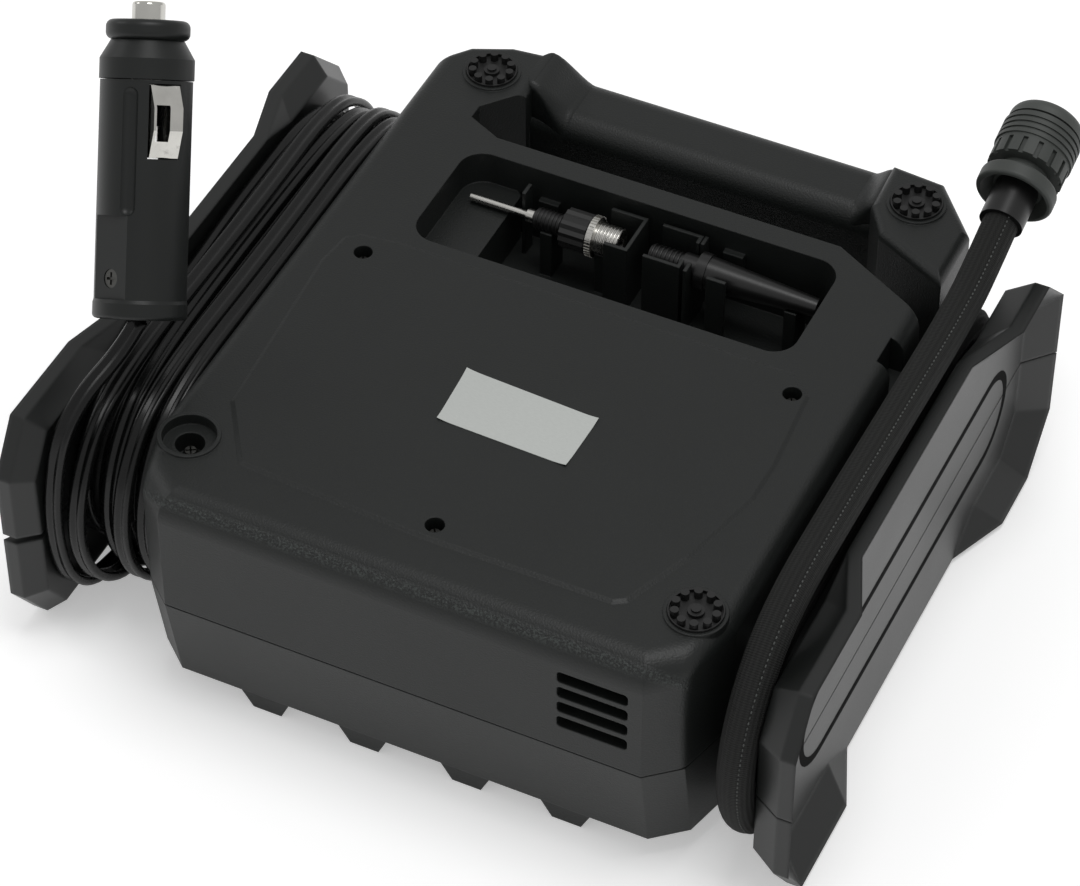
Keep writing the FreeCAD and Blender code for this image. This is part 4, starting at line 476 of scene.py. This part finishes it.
def printed(name, first, second, scale, rough):
    finish = Finish(name)
    spots = finish.ramp(finish.noise(scale, 3.0), (0.45, 0.0), (0.55, 1.0))
    return finish.surface(Base_Color=finish.mix(spots, colour(*first), colour(*second)),
                          Roughness=rough)


window_plastic = clear("clear window")
display_face = printed("display", (0.2, 0.23, 0.2), (0.24, 0.27, 0.23), 60, 0.3)
board_face = printed("circuit board", (0.015, 0.12, 0.04), (0.02, 0.17, 0.06), 320, 0.4)
symbol_print = printed("symbol print", (0.62, 0.62, 0.6), (0.7, 0.7, 0.68), 900, 0.5)
# The stitches' pale colour is a painted glint on the hose's seam.
stitch_thread_and_glint = printed("stitch thread with painted glint", (0.035, 0.038, 0.036), (0.065, 0.07, 0.066), 700, 0.6)
print("window, display, board and print ready")

# %% [markdown]
# The ball needle is one CAD piece of two materials: its needle is plated, and its threaded base and
# knurled nut are black. Cutting the piece in two would change the CAD, so one material changes at
# one place along X, read from Object coordinates.

# %% Needle in two materials
NEEDLE_BORDER = -27.2


def split_metal(name, border_mm, metal_shade, plastic_shade):
    finish = Finish(name)
    is_metal = finish.math("LESS_THAN", finish.axis("X"), place(border_mm, 0, 0).x)
    brushed = finish.noise(BRUSHING, 3.0)
    base = finish.mix(is_metal, colour(*plastic_shade), colour(*metal_shade))
    return finish.surface(Base_Color=base, Metallic=is_metal,
                          Roughness=0.42 - is_metal * 0.2 + brushed * 0.1,
                          Normal=finish.bump(brushed, 0.01))


needle_finish = split_metal("ball needle", NEEDLE_BORDER, (0.66, 0.65, 0.62),
                            (0.012, 0.012, 0.012))
print("needle finish ready")

# %% [markdown]
# The hose has a braided cover. Two families of strands wind round it in opposite ways and pass over
# and under each other. Real strands would be tens of thousands of faces, so the weave is a product
# of two sine waves on the tube's own UV map, where U is the length in metres and V goes once round.
# The power cord is glossy vinyl with a slow ripple, as cords that were once coiled have.

# %% Braid and vinyl
FUZZ, RIPPLE, DUST = 1800, 45, 320


def braided(name, shade, strand_mm, strands):
    finish = Finish(name)
    along = finish.axis("X", "UV") * (2 * math.pi * 1000 / strand_mm)
    around = finish.axis("Y", "UV") * (2 * math.pi * strands)
    weave = finish.math("SINE", along + around) * finish.math("SINE", along - around)
    height = weave * 0.5 + 0.5
    fuzz = finish.noise(FUZZ, 3.0)
    # The colour is darker where the strands sink: painted shade in the weave's gaps.
    tint = finish.ramp(height * 0.75 + fuzz * 0.25, (0.15, 0.3), (0.85, 1.0))
    return finish.surface(Base_Color=finish.tinted(shade, tint), Roughness=0.66 + fuzz * 0.2,
                          Specular_IOR_Level=0.3, Normal=finish.bump(height + fuzz * 0.3, 0.2))


def glossy_vinyl(name, shade):
    finish = Finish(name)
    dust = finish.noise(DUST, 3.0)
    tint = finish.ramp(dust, (0.35, 0.8), (0.65, 1.0))
    return finish.surface(Base_Color=finish.tinted(shade, tint), Roughness=0.22 + dust * 0.1,
                          Specular_IOR_Level=0.33, Normal=finish.bump(finish.noise(RIPPLE), 0.3))


hose_cover = braided("braided cover", (0.0155, 0.016, 0.015), 1.0, 10)
cord_vinyl = glossy_vinyl("cord vinyl", (0.0035, 0.0037, 0.0037))
print("cord finishes ready")

# %% [markdown]
# The sticker is coated paper. Its fibres are a noise drawn out along the sticker's length, so faint
# that they only keep the white from looking like plastic.

# %% Label paper
FIBRES = 900


def paper_finish(name, shade):
    finish = Finish(name)
    fibres = finish.noise(FIBRES, 5.0, (1, 4, 1))
    tint = finish.ramp(fibres, (0.3, 0.93), (0.7, 1.0))
    return finish.surface(Base_Color=finish.tinted(shade, tint), Roughness=0.5 + fibres * 0.15,
                          Normal=finish.bump(fibres, 0.01))


label_paper = paper_finish("label paper", (0.53, 0.55, 0.53))
print("label paper ready")

# %% [markdown]
# Every CAD piece now gets its finish. The table goes from a finish to its pieces, as there are many
# pieces and few finishes. The cords' and the screws' CAD solids are left out, because the pieces
# below replace them.

# %% Give each CAD piece its finish
FINISHES = {
    housing_plastic: ["rear_shell", "front_shell"],
    wrap_plastic: ["left_wrap_rear", "left_wrap_front", "right_wrap_rear", "right_wrap_front"],
    rubber: ["rubber_feet", "piston_seal", "hose_gland", "chuck_seal", "cord_gland",
             "minus_button", "plus_button", "unit_button", "light_button", "start_button"],
    dark_steel: ["plug_screw"],
    window_plastic: ["display_window", "light_lens", "work_light", "plug_fuse"],
    display_face: ["lcd_module"],
    board_face: ["control_board"],
    plated: ["motor_can", "motor_shaft", "crank_shaft", "crank_pin", "head_screws", "plug_spring",
             "valve_adapter"],
    polished_plate: ["plug_tip", "plug_contact_right", "plug_contact_left"],
    needle_finish: ["ball_needle"],
    copper: ["armature"],
    brass: ["motor_pinion", "hose_union", "valve_depressor"],
    cast: ["pump_frame", "cylinder", "cylinder_head"],
    nylon: ["drive_gear", "piston", "connecting_rod", "air_tube"],
    smooth_plastic: ["motor_end_bell", "inflation_nozzle", "hose_ferrule"],
    chuck_plastic: ["chuck_body", "chuck_sleeve"],
    cap_plastic: ["chuck_cap"],
    plug_plastic: ["plug_body", "plug_cap", "plug_collar"],
}
REPLACED = ["hose_winding", "hose_end", "power_cord_core", "power_cord_winding",
            "power_cord_end", "housing_screws"]


def dress(piece, material):
    piece.data.materials.clear()
    piece.data.materials.append(material)


for material, names in FINISHES.items():
    for name in names:
        dress(nodes[name], material)
dressed = [name for group in FINISHES.values() for name in group] + REPLACED
print("undressed", [name for name in nodes if name not in dressed])

# %% [markdown]
# ## Cords
# Most pieces below are skins over a row of rings. One helper lays faces between neighbouring rings,
# the next turns them into a mesh whose faces look outwards, and the third makes it a piece that
# rides on a body.

# %% Skins over rings
def skin(made, rings, joined=False, smooth=False):
    """Faces between neighbouring rings. The end rings are capped, or joined to each other."""
    faces = []
    for ring, following in zip(rings, rings[1:] + (rings[:1] if joined else [])):
        for i in range(len(ring)):
            after = (i + 1) % len(ring)
            faces.append(made.faces.new((ring[i], ring[after], following[after], following[i])))
            faces[-1].smooth = smooth
    if not joined:
        made.faces.new(rings[0][::-1])
        made.faces.new(rings[-1])
    return faces


def closed_mesh(made, name):
    bmesh.ops.recalc_face_normals(made, faces=made.faces)
    mesh = bpy.data.meshes.new(name)
    made.to_mesh(mesh)
    made.free()
    return mesh


def piece_from(name, mesh, material, body="housing"):
    """A piece that rides on a body. A tree's mesh brings its material with it."""
    piece = bpy.data.objects.new(name, mesh)
    bpy.context.scene.collection.objects.link(piece)
    if material is not None:
        dress(piece, material)
    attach(piece, body)
    print(name, len(mesh.polygons), "faces")
    return piece


print("skin helpers ready")

# %% [markdown]
# A cord's surface is a section carried along its line. A curve with a bevel would do for a round
# hose, but a flat cord must not twist, so the section's outward side always faces away from the
# wrap's hub.

# %% Carry a section along a line
def hub_outward(near_y, far_y):
    """For a point near a wrap, the direction away from the hub's middle line."""
    near, far = place(0, near_y, SEAM).y, place(0, far_y, SEAM).y
    middle = SEAM / 1000

    def outward(point):
        return Vector((0, point.y - min(max(point.y, near), far), point.z - middle))

    return outward


def across_and_out(line, index, outward):
    """At one point of a line, the direction across the cord and the one away from the hub."""
    before, after = line[max(index - 1, 0)], line[min(index + 1, len(line) - 1)]
    tangent = (after - before).normalized()
    out = outward(line[index])
    out = (out - tangent * out.dot(tangent)).normalized()
    return tangent.cross(out), out


def carried(name, line, section, outward, material):
    """A closed tube along a line. section(share) gives the outline in metres as pairs."""
    made = bmesh.new()
    rings = []
    for index, point in enumerate(line):
        side, up = across_and_out(line, index, outward)
        outline = section(index / (len(line) - 1))
        rings.append([made.verts.new(point + side * across + up * out) for across, out in outline])
    lengths = [0.0]
    for before, point in zip(line, line[1:]):
        lengths.append(lengths[-1] + (point - before).length)
    layer = made.loops.layers.uv.new("UVMap")
    count = len(rings[0])
    for number, face in enumerate(skin(made, rings, smooth=True)):
        ring, index = divmod(number, count)
        u0, u1 = lengths[ring:ring + 2]
        corners = ((u0, index), (u0, index + 1), (u1, index + 1), (u1, index))
        for loop, (u, v) in zip(face.loops, corners):
            loop[layer].uv = (u, v / count)
    return piece_from(name, closed_mesh(made, name), material)


def oval_section(wide, thick, count=20):
    angles = [2 * math.pi * i / count for i in range(count)]
    return [(wide * math.cos(a), thick * math.sin(a)) for a in angles]


def twin_section(radius, offset, count=9):
    """The outline of two wires side by side, with a waist between them."""
    angles = [math.radians(-145 + 290 * i / (count - 1)) for i in range(count)]
    right = [(offset + radius * math.cos(a), radius * math.sin(a)) for a in angles]
    return right + [(-across, out) for across, out in right[::-1]]


print("a twin cord's outline has", len(twin_section(1, 1)), "points")

# %% [markdown]
# The power cord is two vinyl-covered wires side by side, and the hose is round. The CAD has each in
# two or three solids, which could be dressed as they are, but one piece from end to end shows no
# joints and has a UV map.

# %% Power cord and hose
WIRE_RADIUS, WIRE_ASIDE = 0.00116, 0.00114
TWIN = twin_section(WIRE_RADIUS, WIRE_ASIDE)
from_cord_hub = hub_outward(NEAR_AXLE, FAR_AXLE)
power_cord = carried("power_cord", cord_line, lambda share: TWIN, from_cord_hub, cord_vinyl)
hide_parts("power_cord_core", "power_cord_winding", "power_cord_end")

HOSE_RADIUS = 0.00425
HOSE = oval_section(HOSE_RADIUS, HOSE_RADIUS, count=28)
from_hose_hub = hub_outward(HOSE_NEAR_AXLE, HOSE_FAR_AXLE)
hose = carried("hose", hose_line, lambda share: HOSE, from_hose_hub, hose_cover)
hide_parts("hose_winding", "hose_end")

# %% [markdown]
# Where the power cord leaves the wall, a tapered rubber sleeve with ribs keeps it from bending
# sharply. It follows the cord's own first 24 mm, so it needs no line of its own.

# %% Strain relief
RELIEF_LENGTH = 0.024
RELIEF_WIDE, RELIEF_THICK = 0.0029, 0.0024
NARROWS_BY, THINS_BY = 0.0003, 0.0009
RELIEF_BANDS, RIB_HEIGHT = 12, 0.0002


def line_start(line, length):
    """The first stretch of a line."""
    kept = []
    along = 0.0
    for before, point in zip(line, line[1:]):
        if along <= length:
            kept.append(before)
        along += (point - before).length
    return kept


def relief_section(share):
    """A narrowing oval. Every other band is a rib."""
    rib = RIB_HEIGHT if int(share * RELIEF_BANDS) % 2 else 0.0
    return oval_section(RELIEF_WIDE - NARROWS_BY * share + rib,
                        RELIEF_THICK - THINS_BY * share + rib)


relief = carried("power_cord_relief", line_start(cord_line, RELIEF_LENGTH), relief_section,
                 from_cord_hub, rubber)

# %% [markdown]
# The power cord is limp and coiled.

print("power cord made")

# %% [markdown]
# ## Small pieces
# The base face carries a blank white sticker, put on by hand and so a little askew. A flat plate
# would do if its corners hadn't begun to lift, so it is a fine grid that rises near each corner.

# %% Sticker
PANEL_TOP = HEIGHT + 0.5
STICKER_CORNERS = ((-15.2, 66.0), (18.5, 64.2), (18.1, 47.8), (-14.2, 48.8))
STICKER_THICK = 0.12
STICKER_GAP = 0.02
CURL_HEIGHT, CURL_REACH = 0.35, 4.0


def sticker_mesh(corners, columns=36, rows=18):
    made = bmesh.new()
    layers = []
    for raised in (STICKER_THICK, 0.0):
        grid = []
        for row in range(rows + 1):
            v = row / rows
            line = []
            for column in range(columns + 1):
                u = column / columns
                weights = ((1 - u) * (1 - v), u * (1 - v), u * v, (1 - u) * v)
                x = sum(w * corner[0] for w, corner in zip(weights, corners))
                y = sum(w * corner[1] for w, corner in zip(weights, corners))
                to_corner = min(math.hypot(x - cx, y - cy) for cx, cy in corners)
                curl = CURL_HEIGHT * max(0.0, 1 - to_corner / CURL_REACH) ** 2
                line.append(made.verts.new(place(x, y, PANEL_TOP + STICKER_GAP + curl + raised)))
            grid.append(line)
        layers.append(grid)
    top, under = layers
    for grid, way in ((top, -1), (under, 1)):
        for line, below in zip(grid, grid[1:]):
            for i in range(columns):
                made.faces.new((line[i], line[i + 1], below[i + 1], below[i])[::way])
    rim = [(0, c) for c in range(columns)] + [(r, columns) for r in range(rows)]
    rim += [(rows, c) for c in range(columns, 0, -1)] + [(r, 0) for r in range(rows, 0, -1)]
    for (r0, c0), (r1, c1) in zip(rim, rim[1:] + rim[:1]):
        made.faces.new((top[r0][c0], top[r1][c1], under[r1][c1], under[r0][c0]))
    return closed_mesh(made, "sticker")


sticker = piece_from("sticker", sticker_mesh(STICKER_CORNERS), label_paper)

# %% [markdown]
# The carrying handle grows out of its two blocks in soft curves, as a moulded part does wherever a
# thick and a thin form meet. No straight cut gives such a curve, so each root is a run of rounded
# sections, which begin inside the block, swell over its edge and sink onto the bar.

# %% Roots of the handle
ROOT_LOW = 44.0
ROOTS = {  # stations of x, near, far, top and corner radius, in millimetres
    "handle_root_left": ((-49.5, 165.5, 171.0, 66.9, 1.6), (-45.3, 161.8, 175.7, 67.06, 1.6),
                         (-34.6, 160.6, 179.9, 58.9, 5.9)),
    "handle_root_right": ((46.4, 162.0, 176.0, 63.3, 2.0), (45.2, 161.6, 176.4, 63.3, 2.2),
                          (38.6, 160.6, 179.9, 58.9, 5.9)),
}


def rounded_section(near, far, high, radius, steps=6):
    """An outline in Y and Z, in millimetres, whose two upper corners are rounded."""
    outline = [(near, ROOT_LOW)]
    for middle_y, start in ((near + radius, 180), (far - radius, 90)):
        for step in range(steps + 1):
            angle = math.radians(start - 90 * step / steps)
            outline.append((middle_y + radius * math.cos(angle),
                            high - radius + radius * math.sin(angle)))
    return outline + [(far, ROOT_LOW)]


def root_mesh(stations, between=8):
    """Sections through the stations, eased from each to the next."""
    sections = []
    for first, second in zip(stations, stations[1:]):
        for step in range(between):
            share = step / between
            eased = share * share * (3 - 2 * share)
            x = first[0] + (second[0] - first[0]) * share
            sections.append((x, *(a + (b - a) * eased for a, b in zip(first[1:], second[1:]))))
    made = bmesh.new()
    rings = [[made.verts.new(place(x, y, z)) for y, z in rounded_section(*sizes)]
             for x, *sizes in sections + [stations[-1]]]
    skin(made, rings, smooth=True)
    return closed_mesh(made, "root")


for name, stations in ROOTS.items():
    piece_from(name, root_mesh(stations), housing_plastic)

# %% [markdown]
# Each wrap's outer face has a long oval groove. On the real object it stays black even where the
# face beside it shines. A groove's own shade is too weak in even light, so a matt black strip
# fills it as painted shade, and its edges lap a little over the face.

# %% Painted shade in the oval grooves
GROOVE_NEAR, GROOVE_FAR = 22.0, 146.0
GROOVE_HALF, GROOVE_WIDTH = 12.7, 1.5
SHADE_STRIP_LAP = 0.4
GROOVE_SHADE_STRIPS = {"wrap_inlay_right": (86.5, 86.94), "wrap_inlay_left": (-97.6, -98.04)}


def oval(half, steps=16):
    """The outline of a long oval in Y and Z, round the middle line of the groove."""
    outline = []
    for middle_y, start in ((GROOVE_FAR - GROOVE_HALF, -90), (GROOVE_NEAR + GROOVE_HALF, 90)):
        for step in range(steps + 1):
            angle = math.radians(start + 180 * step / steps)
            outline.append((middle_y + half * math.cos(angle), SEAM + half * math.sin(angle)))
    return outline


def groove_shade_mesh(floor_x, top_x):
    made = bmesh.new()
    wide, narrow = GROOVE_HALF + SHADE_STRIP_LAP, GROOVE_HALF - GROOVE_WIDTH - SHADE_STRIP_LAP
    edges = ((floor_x, wide), (top_x, wide), (top_x, narrow), (floor_x, narrow))
    skin(made, [[made.verts.new(place(x, y, z)) for y, z in oval(half)] for x, half in edges],
         joined=True)
    return closed_mesh(made, "groove shade strip")


# Each strip is painted shade that fills a groove.
for name, (floor_x, top_x) in GROOVE_SHADE_STRIPS.items():
    piece_from(name, groove_shade_mesh(floor_x, top_x), groove_shade_black)

# %% [markdown]
# The display face, on which the object lies here, has five round buttons with printed symbols. An
# image could print them, but a thin plate on the button's face stays sharp and goes down with the
# button. Plates that cross lie at slightly different depths.

# %% Button symbols
PRINT_THICK = 0.1
PRINT_SUNK = 0.05
PRINT_STEP = 0.002


def bar(width, height, turn=0.0, aside=0.0):
    """The corners of a bar, pushed aside from the middle and turned round it by some degrees."""
    cosine, sine = math.cos(math.radians(turn)), math.sin(math.radians(turn))
    corners = [(x * width / 2, y * height / 2) for x, y in ((-1, -1), (1, -1), (1, 1), (-1, 1))]
    return [(x * cosine - y * sine + aside * cosine, x * sine + y * cosine + aside * sine)
            for x, y in corners]


def arc(radius, width, start, end, steps=24):
    """A part of a ring as a run of small four-sided outlines."""
    outlines = []
    for step in range(steps):
        a0, a1 = [math.radians(start + (end - start) * (step + k) / steps) for k in (0, 1)]
        inner, outer = radius - width / 2, radius + width / 2
        outlines.append([(r * math.cos(a), r * math.sin(a))
                         for r, a in ((inner, a0), (outer, a0), (outer, a1), (inner, a1))])
    return outlines


SYMBOLS = {
    "minus_button": [bar(3.2, 0.6)],
    "plus_button": [bar(3.2, 0.6), bar(0.6, 3.2)],
    "unit_button": arc(1.5, 0.5, 30, 330),
    "light_button": arc(0.9, 0.4, 0, 360) + [bar(0.7, 0.35, turn, 1.75)
                                             for turn in range(0, 360, 45)],
    "start_button": arc(1.6, 0.5, 120, 420) + [bar(0.5, 1.9)],
}


def symbol_mesh(outlines, centre, level):
    made = bmesh.new()
    for index, outline in enumerate(outlines):
        depths = (level - PRINT_THICK - PRINT_STEP * index, level + PRINT_SUNK)
        skin(made, [[made.verts.new(centre + Vector((x, y, depth)) / 1000) for x, y in outline]
                    for depth in depths])
    return closed_mesh(made, "symbol")


for name, outlines in SYMBOLS.items():
    lowest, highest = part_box(name)
    centre = Vector(((lowest[0] + highest[0]) / 2, (lowest[1] + highest[1]) / 2, 0))
    mesh = symbol_mesh(outlines, centre, lowest[2] * 1000)
    piece_from(name.replace("button", "symbol"), mesh, symbol_print, name)

# %% [markdown]
# ## What repeats
# Geometry Nodes place the small things that repeat, as a count or a spacing is then one number.
# `Grower` is a node tree with named inputs, and its `node` method is the one that the finishes use.
# The tree's result becomes a plain mesh, so nothing stays live.

# %% A tree of Geometry Nodes
class Grower(Finish):
    """A Geometry Nodes tree with named inputs."""

    def __init__(self, name, inputs):
        self.tree = bpy.data.node_groups.new(name, "GeometryNodeTree")
        for way in ("INPUT", "OUTPUT"):
            self.tree.interface.new_socket("Geometry", in_out=way,
                                           socket_type="NodeSocketGeometry")
        for label, kind in inputs.items():
            self.tree.interface.new_socket(label, in_out="INPUT", socket_type="NodeSocket" + kind)
        self.start = self.tree.nodes.new("NodeGroupInput")

    def given(self, label):
        return Value(self, self.start.outputs[label])

    def end(self, points, shape, **more):
        """Put a shape at each point, make the copies real and cover them with the given finish."""
        placed = self.node("GeometryNodeInstanceOnPoints", {},
                           {"Points": points, "Instance": shape, **more})
        real = self.node("GeometryNodeRealizeInstances", {}, {0: placed})
        covered = self.node("GeometryNodeSetMaterial", {},
                            {"Geometry": real, "Material": self.given("Finish")})
        self.node("NodeGroupOutput", {}, {"Geometry": covered})

    def grow(self, mesh, **settings):
        """Run the tree on a mesh and give the result as a plain mesh."""
        holder = bpy.data.objects.new("holder", mesh)
        bpy.context.scene.collection.objects.link(holder)
        modifier = holder.modifiers.new("nodes", "NODES")
        modifier.node_group = self.tree
        for item in self.tree.interface.items_tree:
            if item.in_out == "INPUT" and item.name in settings:
                modifier[item.identifier] = settings[item.name]
        evaluated = holder.evaluated_get(bpy.context.evaluated_depsgraph_get())
        grown = bpy.data.meshes.new_from_object(evaluated)
        holder.modifiers.remove(modifier)
        bpy.data.objects.remove(holder)
        return grown


def points_mesh(points, joined=False):
    """A mesh of bare points, or of points joined in a row."""
    edges = [(i, i + 1) for i in range(len(points) - 1)] if joined else []
    mesh = bpy.data.meshes.new("points")
    mesh.from_pydata([tuple(point) for point in points], edges, [])
    return mesh


print("growers ready")

# %% [markdown]
# Seven screws hold the shells together: three in the panel, and four under the feet. Each has a
# tall domed head with a cross recess, turned to where the driver left it. They could be copied by
# hand, but a tree puts one at each point and turns it by a seeded random angle.

# %% Housing screws
HEAD_RADIUS, HEAD_HEIGHT = 0.00195, 0.003
SHANK_RADIUS, SHANK_LENGTH = 0.0011, 0.006
SEAT_DEPTH = 5.0
FOOT_RING_DEPTH = 2.4
FEET = ((-55.6, 161.7), (55.6, 161.7), (61.7, 20.7), (-61.7, 20.7))
PANEL_SCREWS = ((-54.1, 90.4), (0.0, 19.4), (54.3, 90.3))


def screw_mesh(count=32):
    """A domed head with a cross recess, and its shank, made of rings."""
    radius, height = HEAD_RADIUS, HEAD_HEIGHT
    profile = [(SHANK_RADIUS, -SHANK_LENGTH), (SHANK_RADIUS, 0.0),
               (radius, 0.0), (radius, 0.45 * height),
               (0.86 * radius, 0.8 * height), (0.66 * radius, 0.98 * height)]
    outlines = [(oval_section(r, r, count), z) for r, z in profile]
    recess = []
    for x, y in oval_section(1.0, 1.0, count):
        reach = radius * (0.62 if max(abs(x), abs(y)) > 0.965 else 0.2)
        recess.append((x * reach, y * reach))
    outlines += [(recess, 0.98 * height), (recess, 0.4 * height)]
    made = bmesh.new()
    skin(made, [[made.verts.new((x, y, z)) for x, y in outline] for outline, z in outlines])
    return closed_mesh(made, "screw")


screw_tree = Grower("screws", {"Screw": "Object", "Seed": "Int", "Finish": "Material"})
shape = screw_tree.node("GeometryNodeObjectInfo", {}, {"Object": screw_tree.given("Screw")},
                        output=4)
turn = screw_tree.node("FunctionNodeRandomValue", {"data_type": "FLOAT"},
                       {"Min": 0.0, "Max": math.pi, "Seed": screw_tree.given("Seed")}, output=1)
turned = screw_tree.node("ShaderNodeCombineXYZ", {}, {"Z": turn})
screw_tree.end(screw_tree.given("Geometry"), shape, Rotation=turned)

screw_holder = bpy.data.objects.new("screw shape", screw_mesh())
seats = [place(x, y, HEIGHT - FOOT_RING_DEPTH - SEAT_DEPTH) for x, y in FEET]
seats += [place(x, y, HEIGHT - SEAT_DEPTH) for x, y in PANEL_SCREWS]
screws = piece_from("screws", screw_tree.grow(points_mesh(seats), Screw=screw_holder, Seed=4,
                                              Finish=dark_steel), None)
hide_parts("housing_screws")
bpy.data.objects.remove(screw_holder)

# %% [markdown]
# The hose's cover is sewn shut, and its seam shows as a row of stitches, whose pale colour is a
# painted glint. The finish could paint them, but they stand out of the cover, so a tree samples
# the seam's line at one stitch length and lays a small bead on each point, turned along the line.

# %% Seam of the hose
SEAM_RADIUS, SEAM_ANGLE = 0.00423, 62
STITCH_SPACING, STITCH_LENGTH, STITCH_WIDTH = 0.0013, 0.0008, 0.00045

stitch_tree = Grower("stitches", {"Spacing": "Float", "Length": "Float", "Width": "Float",
                                  "Finish": "Material"})
seam_curve = stitch_tree.node("GeometryNodeMeshToCurve", {},
                              {"Mesh": stitch_tree.given("Geometry")})
marks = stitch_tree.node("GeometryNodeResampleCurve", {"mode": "LENGTH"},
                         {"Curve": seam_curve, "Length": stitch_tree.given("Spacing")})
forward = stitch_tree.node("GeometryNodeInputTangent")
turned = stitch_tree.node("FunctionNodeAlignRotationToVector", {"axis": "Z"}, {"Vector": forward})
bead = stitch_tree.node("GeometryNodeMeshUVSphere", {}, {"Segments": 6, "Rings": 4, "Radius": 0.5})
width, length = stitch_tree.given("Width"), stitch_tree.given("Length")
size = stitch_tree.node("ShaderNodeCombineXYZ", {}, {"X": width, "Y": width, "Z": length})
stitch_tree.end(marks, bead, Rotation=turned, Scale=size)


def line_beside(line, outward, radius, degrees):
    """A line laid on a tube's surface, at an angle from its side towards its outside."""
    laid = []
    angle = math.radians(degrees)
    for index, point in enumerate(line):
        side, out = across_and_out(line, index, outward)
        laid.append(point + (side * math.cos(angle) + out * math.sin(angle)) * radius)
    return laid


seam_line = line_beside(hose_line, from_hose_hub, SEAM_RADIUS, SEAM_ANGLE)
stitch_mesh = stitch_tree.grow(points_mesh(seam_line, joined=True), Spacing=STITCH_SPACING,
                               Length=STITCH_LENGTH, Width=STITCH_WIDTH, Finish=stitch_thread_and_glint)
hose_stitches = piece_from("hose_stitches", stitch_mesh, None)

# %% [markdown]
# The hose is stiffer than the power cord, and the whole chuck hangs on its end.

print("hose made")

# %% [markdown]
# The needle's base, the valve adapter and the nozzle's neck are threaded. A true helix could hardly
# be told from rings at this size, so one tree makes all three as rings in a row.

# %% Threads
ITEM_Y, ITEM_Z = 126.5, 59.5
RING_STEPS, WIRE_STEPS, RINGS = 40, 6, 7
THREADS = (  # piece, pitch, radius, wire, start in X in millimetres, finish, slot and body
    ("needle_thread", 0.95, 2.5, 0.32, -25.8, smooth_plastic, "black_plastic", "ball_needle"),
    ("adapter_thread", 0.85, 3.55, 0.3, -10.0, plated, "plated_steel", "valve_adapter"),
    ("nozzle_thread", 1.1, 2.6, 0.36, 3.9, smooth_plastic, "black_plastic", "inflation_nozzle"),
)

ring_tree = Grower("rings in a row", {"Count": "Int", "Pitch": "Vector", "Radius": "Float",
                                      "Wire": "Float", "Finish": "Material"})
row = ring_tree.node("GeometryNodeMeshLine", {}, {"Count": ring_tree.given("Count"),
                                                  "Offset": ring_tree.given("Pitch")})
circle = ring_tree.node("GeometryNodeCurvePrimitiveCircle", {},
                        {"Resolution": RING_STEPS, "Radius": ring_tree.given("Radius")})
wire = ring_tree.node("GeometryNodeCurvePrimitiveCircle", {},
                      {"Resolution": WIRE_STEPS, "Radius": ring_tree.given("Wire")})
loop = ring_tree.node("GeometryNodeCurveToMesh", {}, {"Curve": circle, "Profile Curve": wire})
ring_tree.end(row, loop)


def lay_along_x(mesh, x):
    """Lay a mesh made along +Z along the items' middle line instead, from x."""
    turn = Vector((0, 0, 1)).rotation_difference(Vector((1, 0, 0))).to_matrix().to_4x4()
    mesh.transform(Matrix.Translation(place(x, ITEM_Y, ITEM_Z)) @ turn)
    return mesh


for name, pitch, radius, thick, x, material, slot, body in THREADS:
    mesh = ring_tree.grow(points_mesh([]), Count=RINGS, Pitch=(0.0, 0.0, pitch / 1000),
                          Radius=radius / 1000, Wire=thick / 1000, Finish=material)
    piece_from(name, lay_along_x(mesh, x), None, body)

# %% [markdown]
# A finger turns the valve adapter by its knurl: fine ridges round its collar. Grooves could be cut,
# but a tree with a small block at each point of a circle needs only a count, a radius and a size.
# Each block is turned by its point's number times the step between two.

# %% Knurl
RIDGES, RIDGE_CIRCLE = 36, 0.00485
RIDGE_SIZE = (0.0005, 0.00042, 0.0015)
ridge_tree = Grower("ridges round an axis", {"Count": "Int", "Radius": "Float", "Ridge": "Vector",
                                             "Finish": "Material"})
spots = ridge_tree.node("GeometryNodeMeshCircle", {}, {"Vertices": ridge_tree.given("Count"),
                                                       "Radius": ridge_tree.given("Radius")})
number = ridge_tree.node("GeometryNodeInputIndex")
step = ridge_tree.math("DIVIDE", 2 * math.pi, ridge_tree.given("Count"))
facing = ridge_tree.node("ShaderNodeCombineXYZ", {}, {"Z": number * step})
ridge = ridge_tree.node("GeometryNodeMeshCube", {}, {"Size": ridge_tree.given("Ridge")})
ridge_tree.end(spots, ridge, Rotation=facing)

knurl_mesh = ridge_tree.grow(points_mesh([]), Count=RIDGES, Radius=RIDGE_CIRCLE, Ridge=RIDGE_SIZE,
                             Finish=plated)
piece_from("adapter_knurl", lay_along_x(knurl_mesh, -11.4), None,
           "valve_adapter")
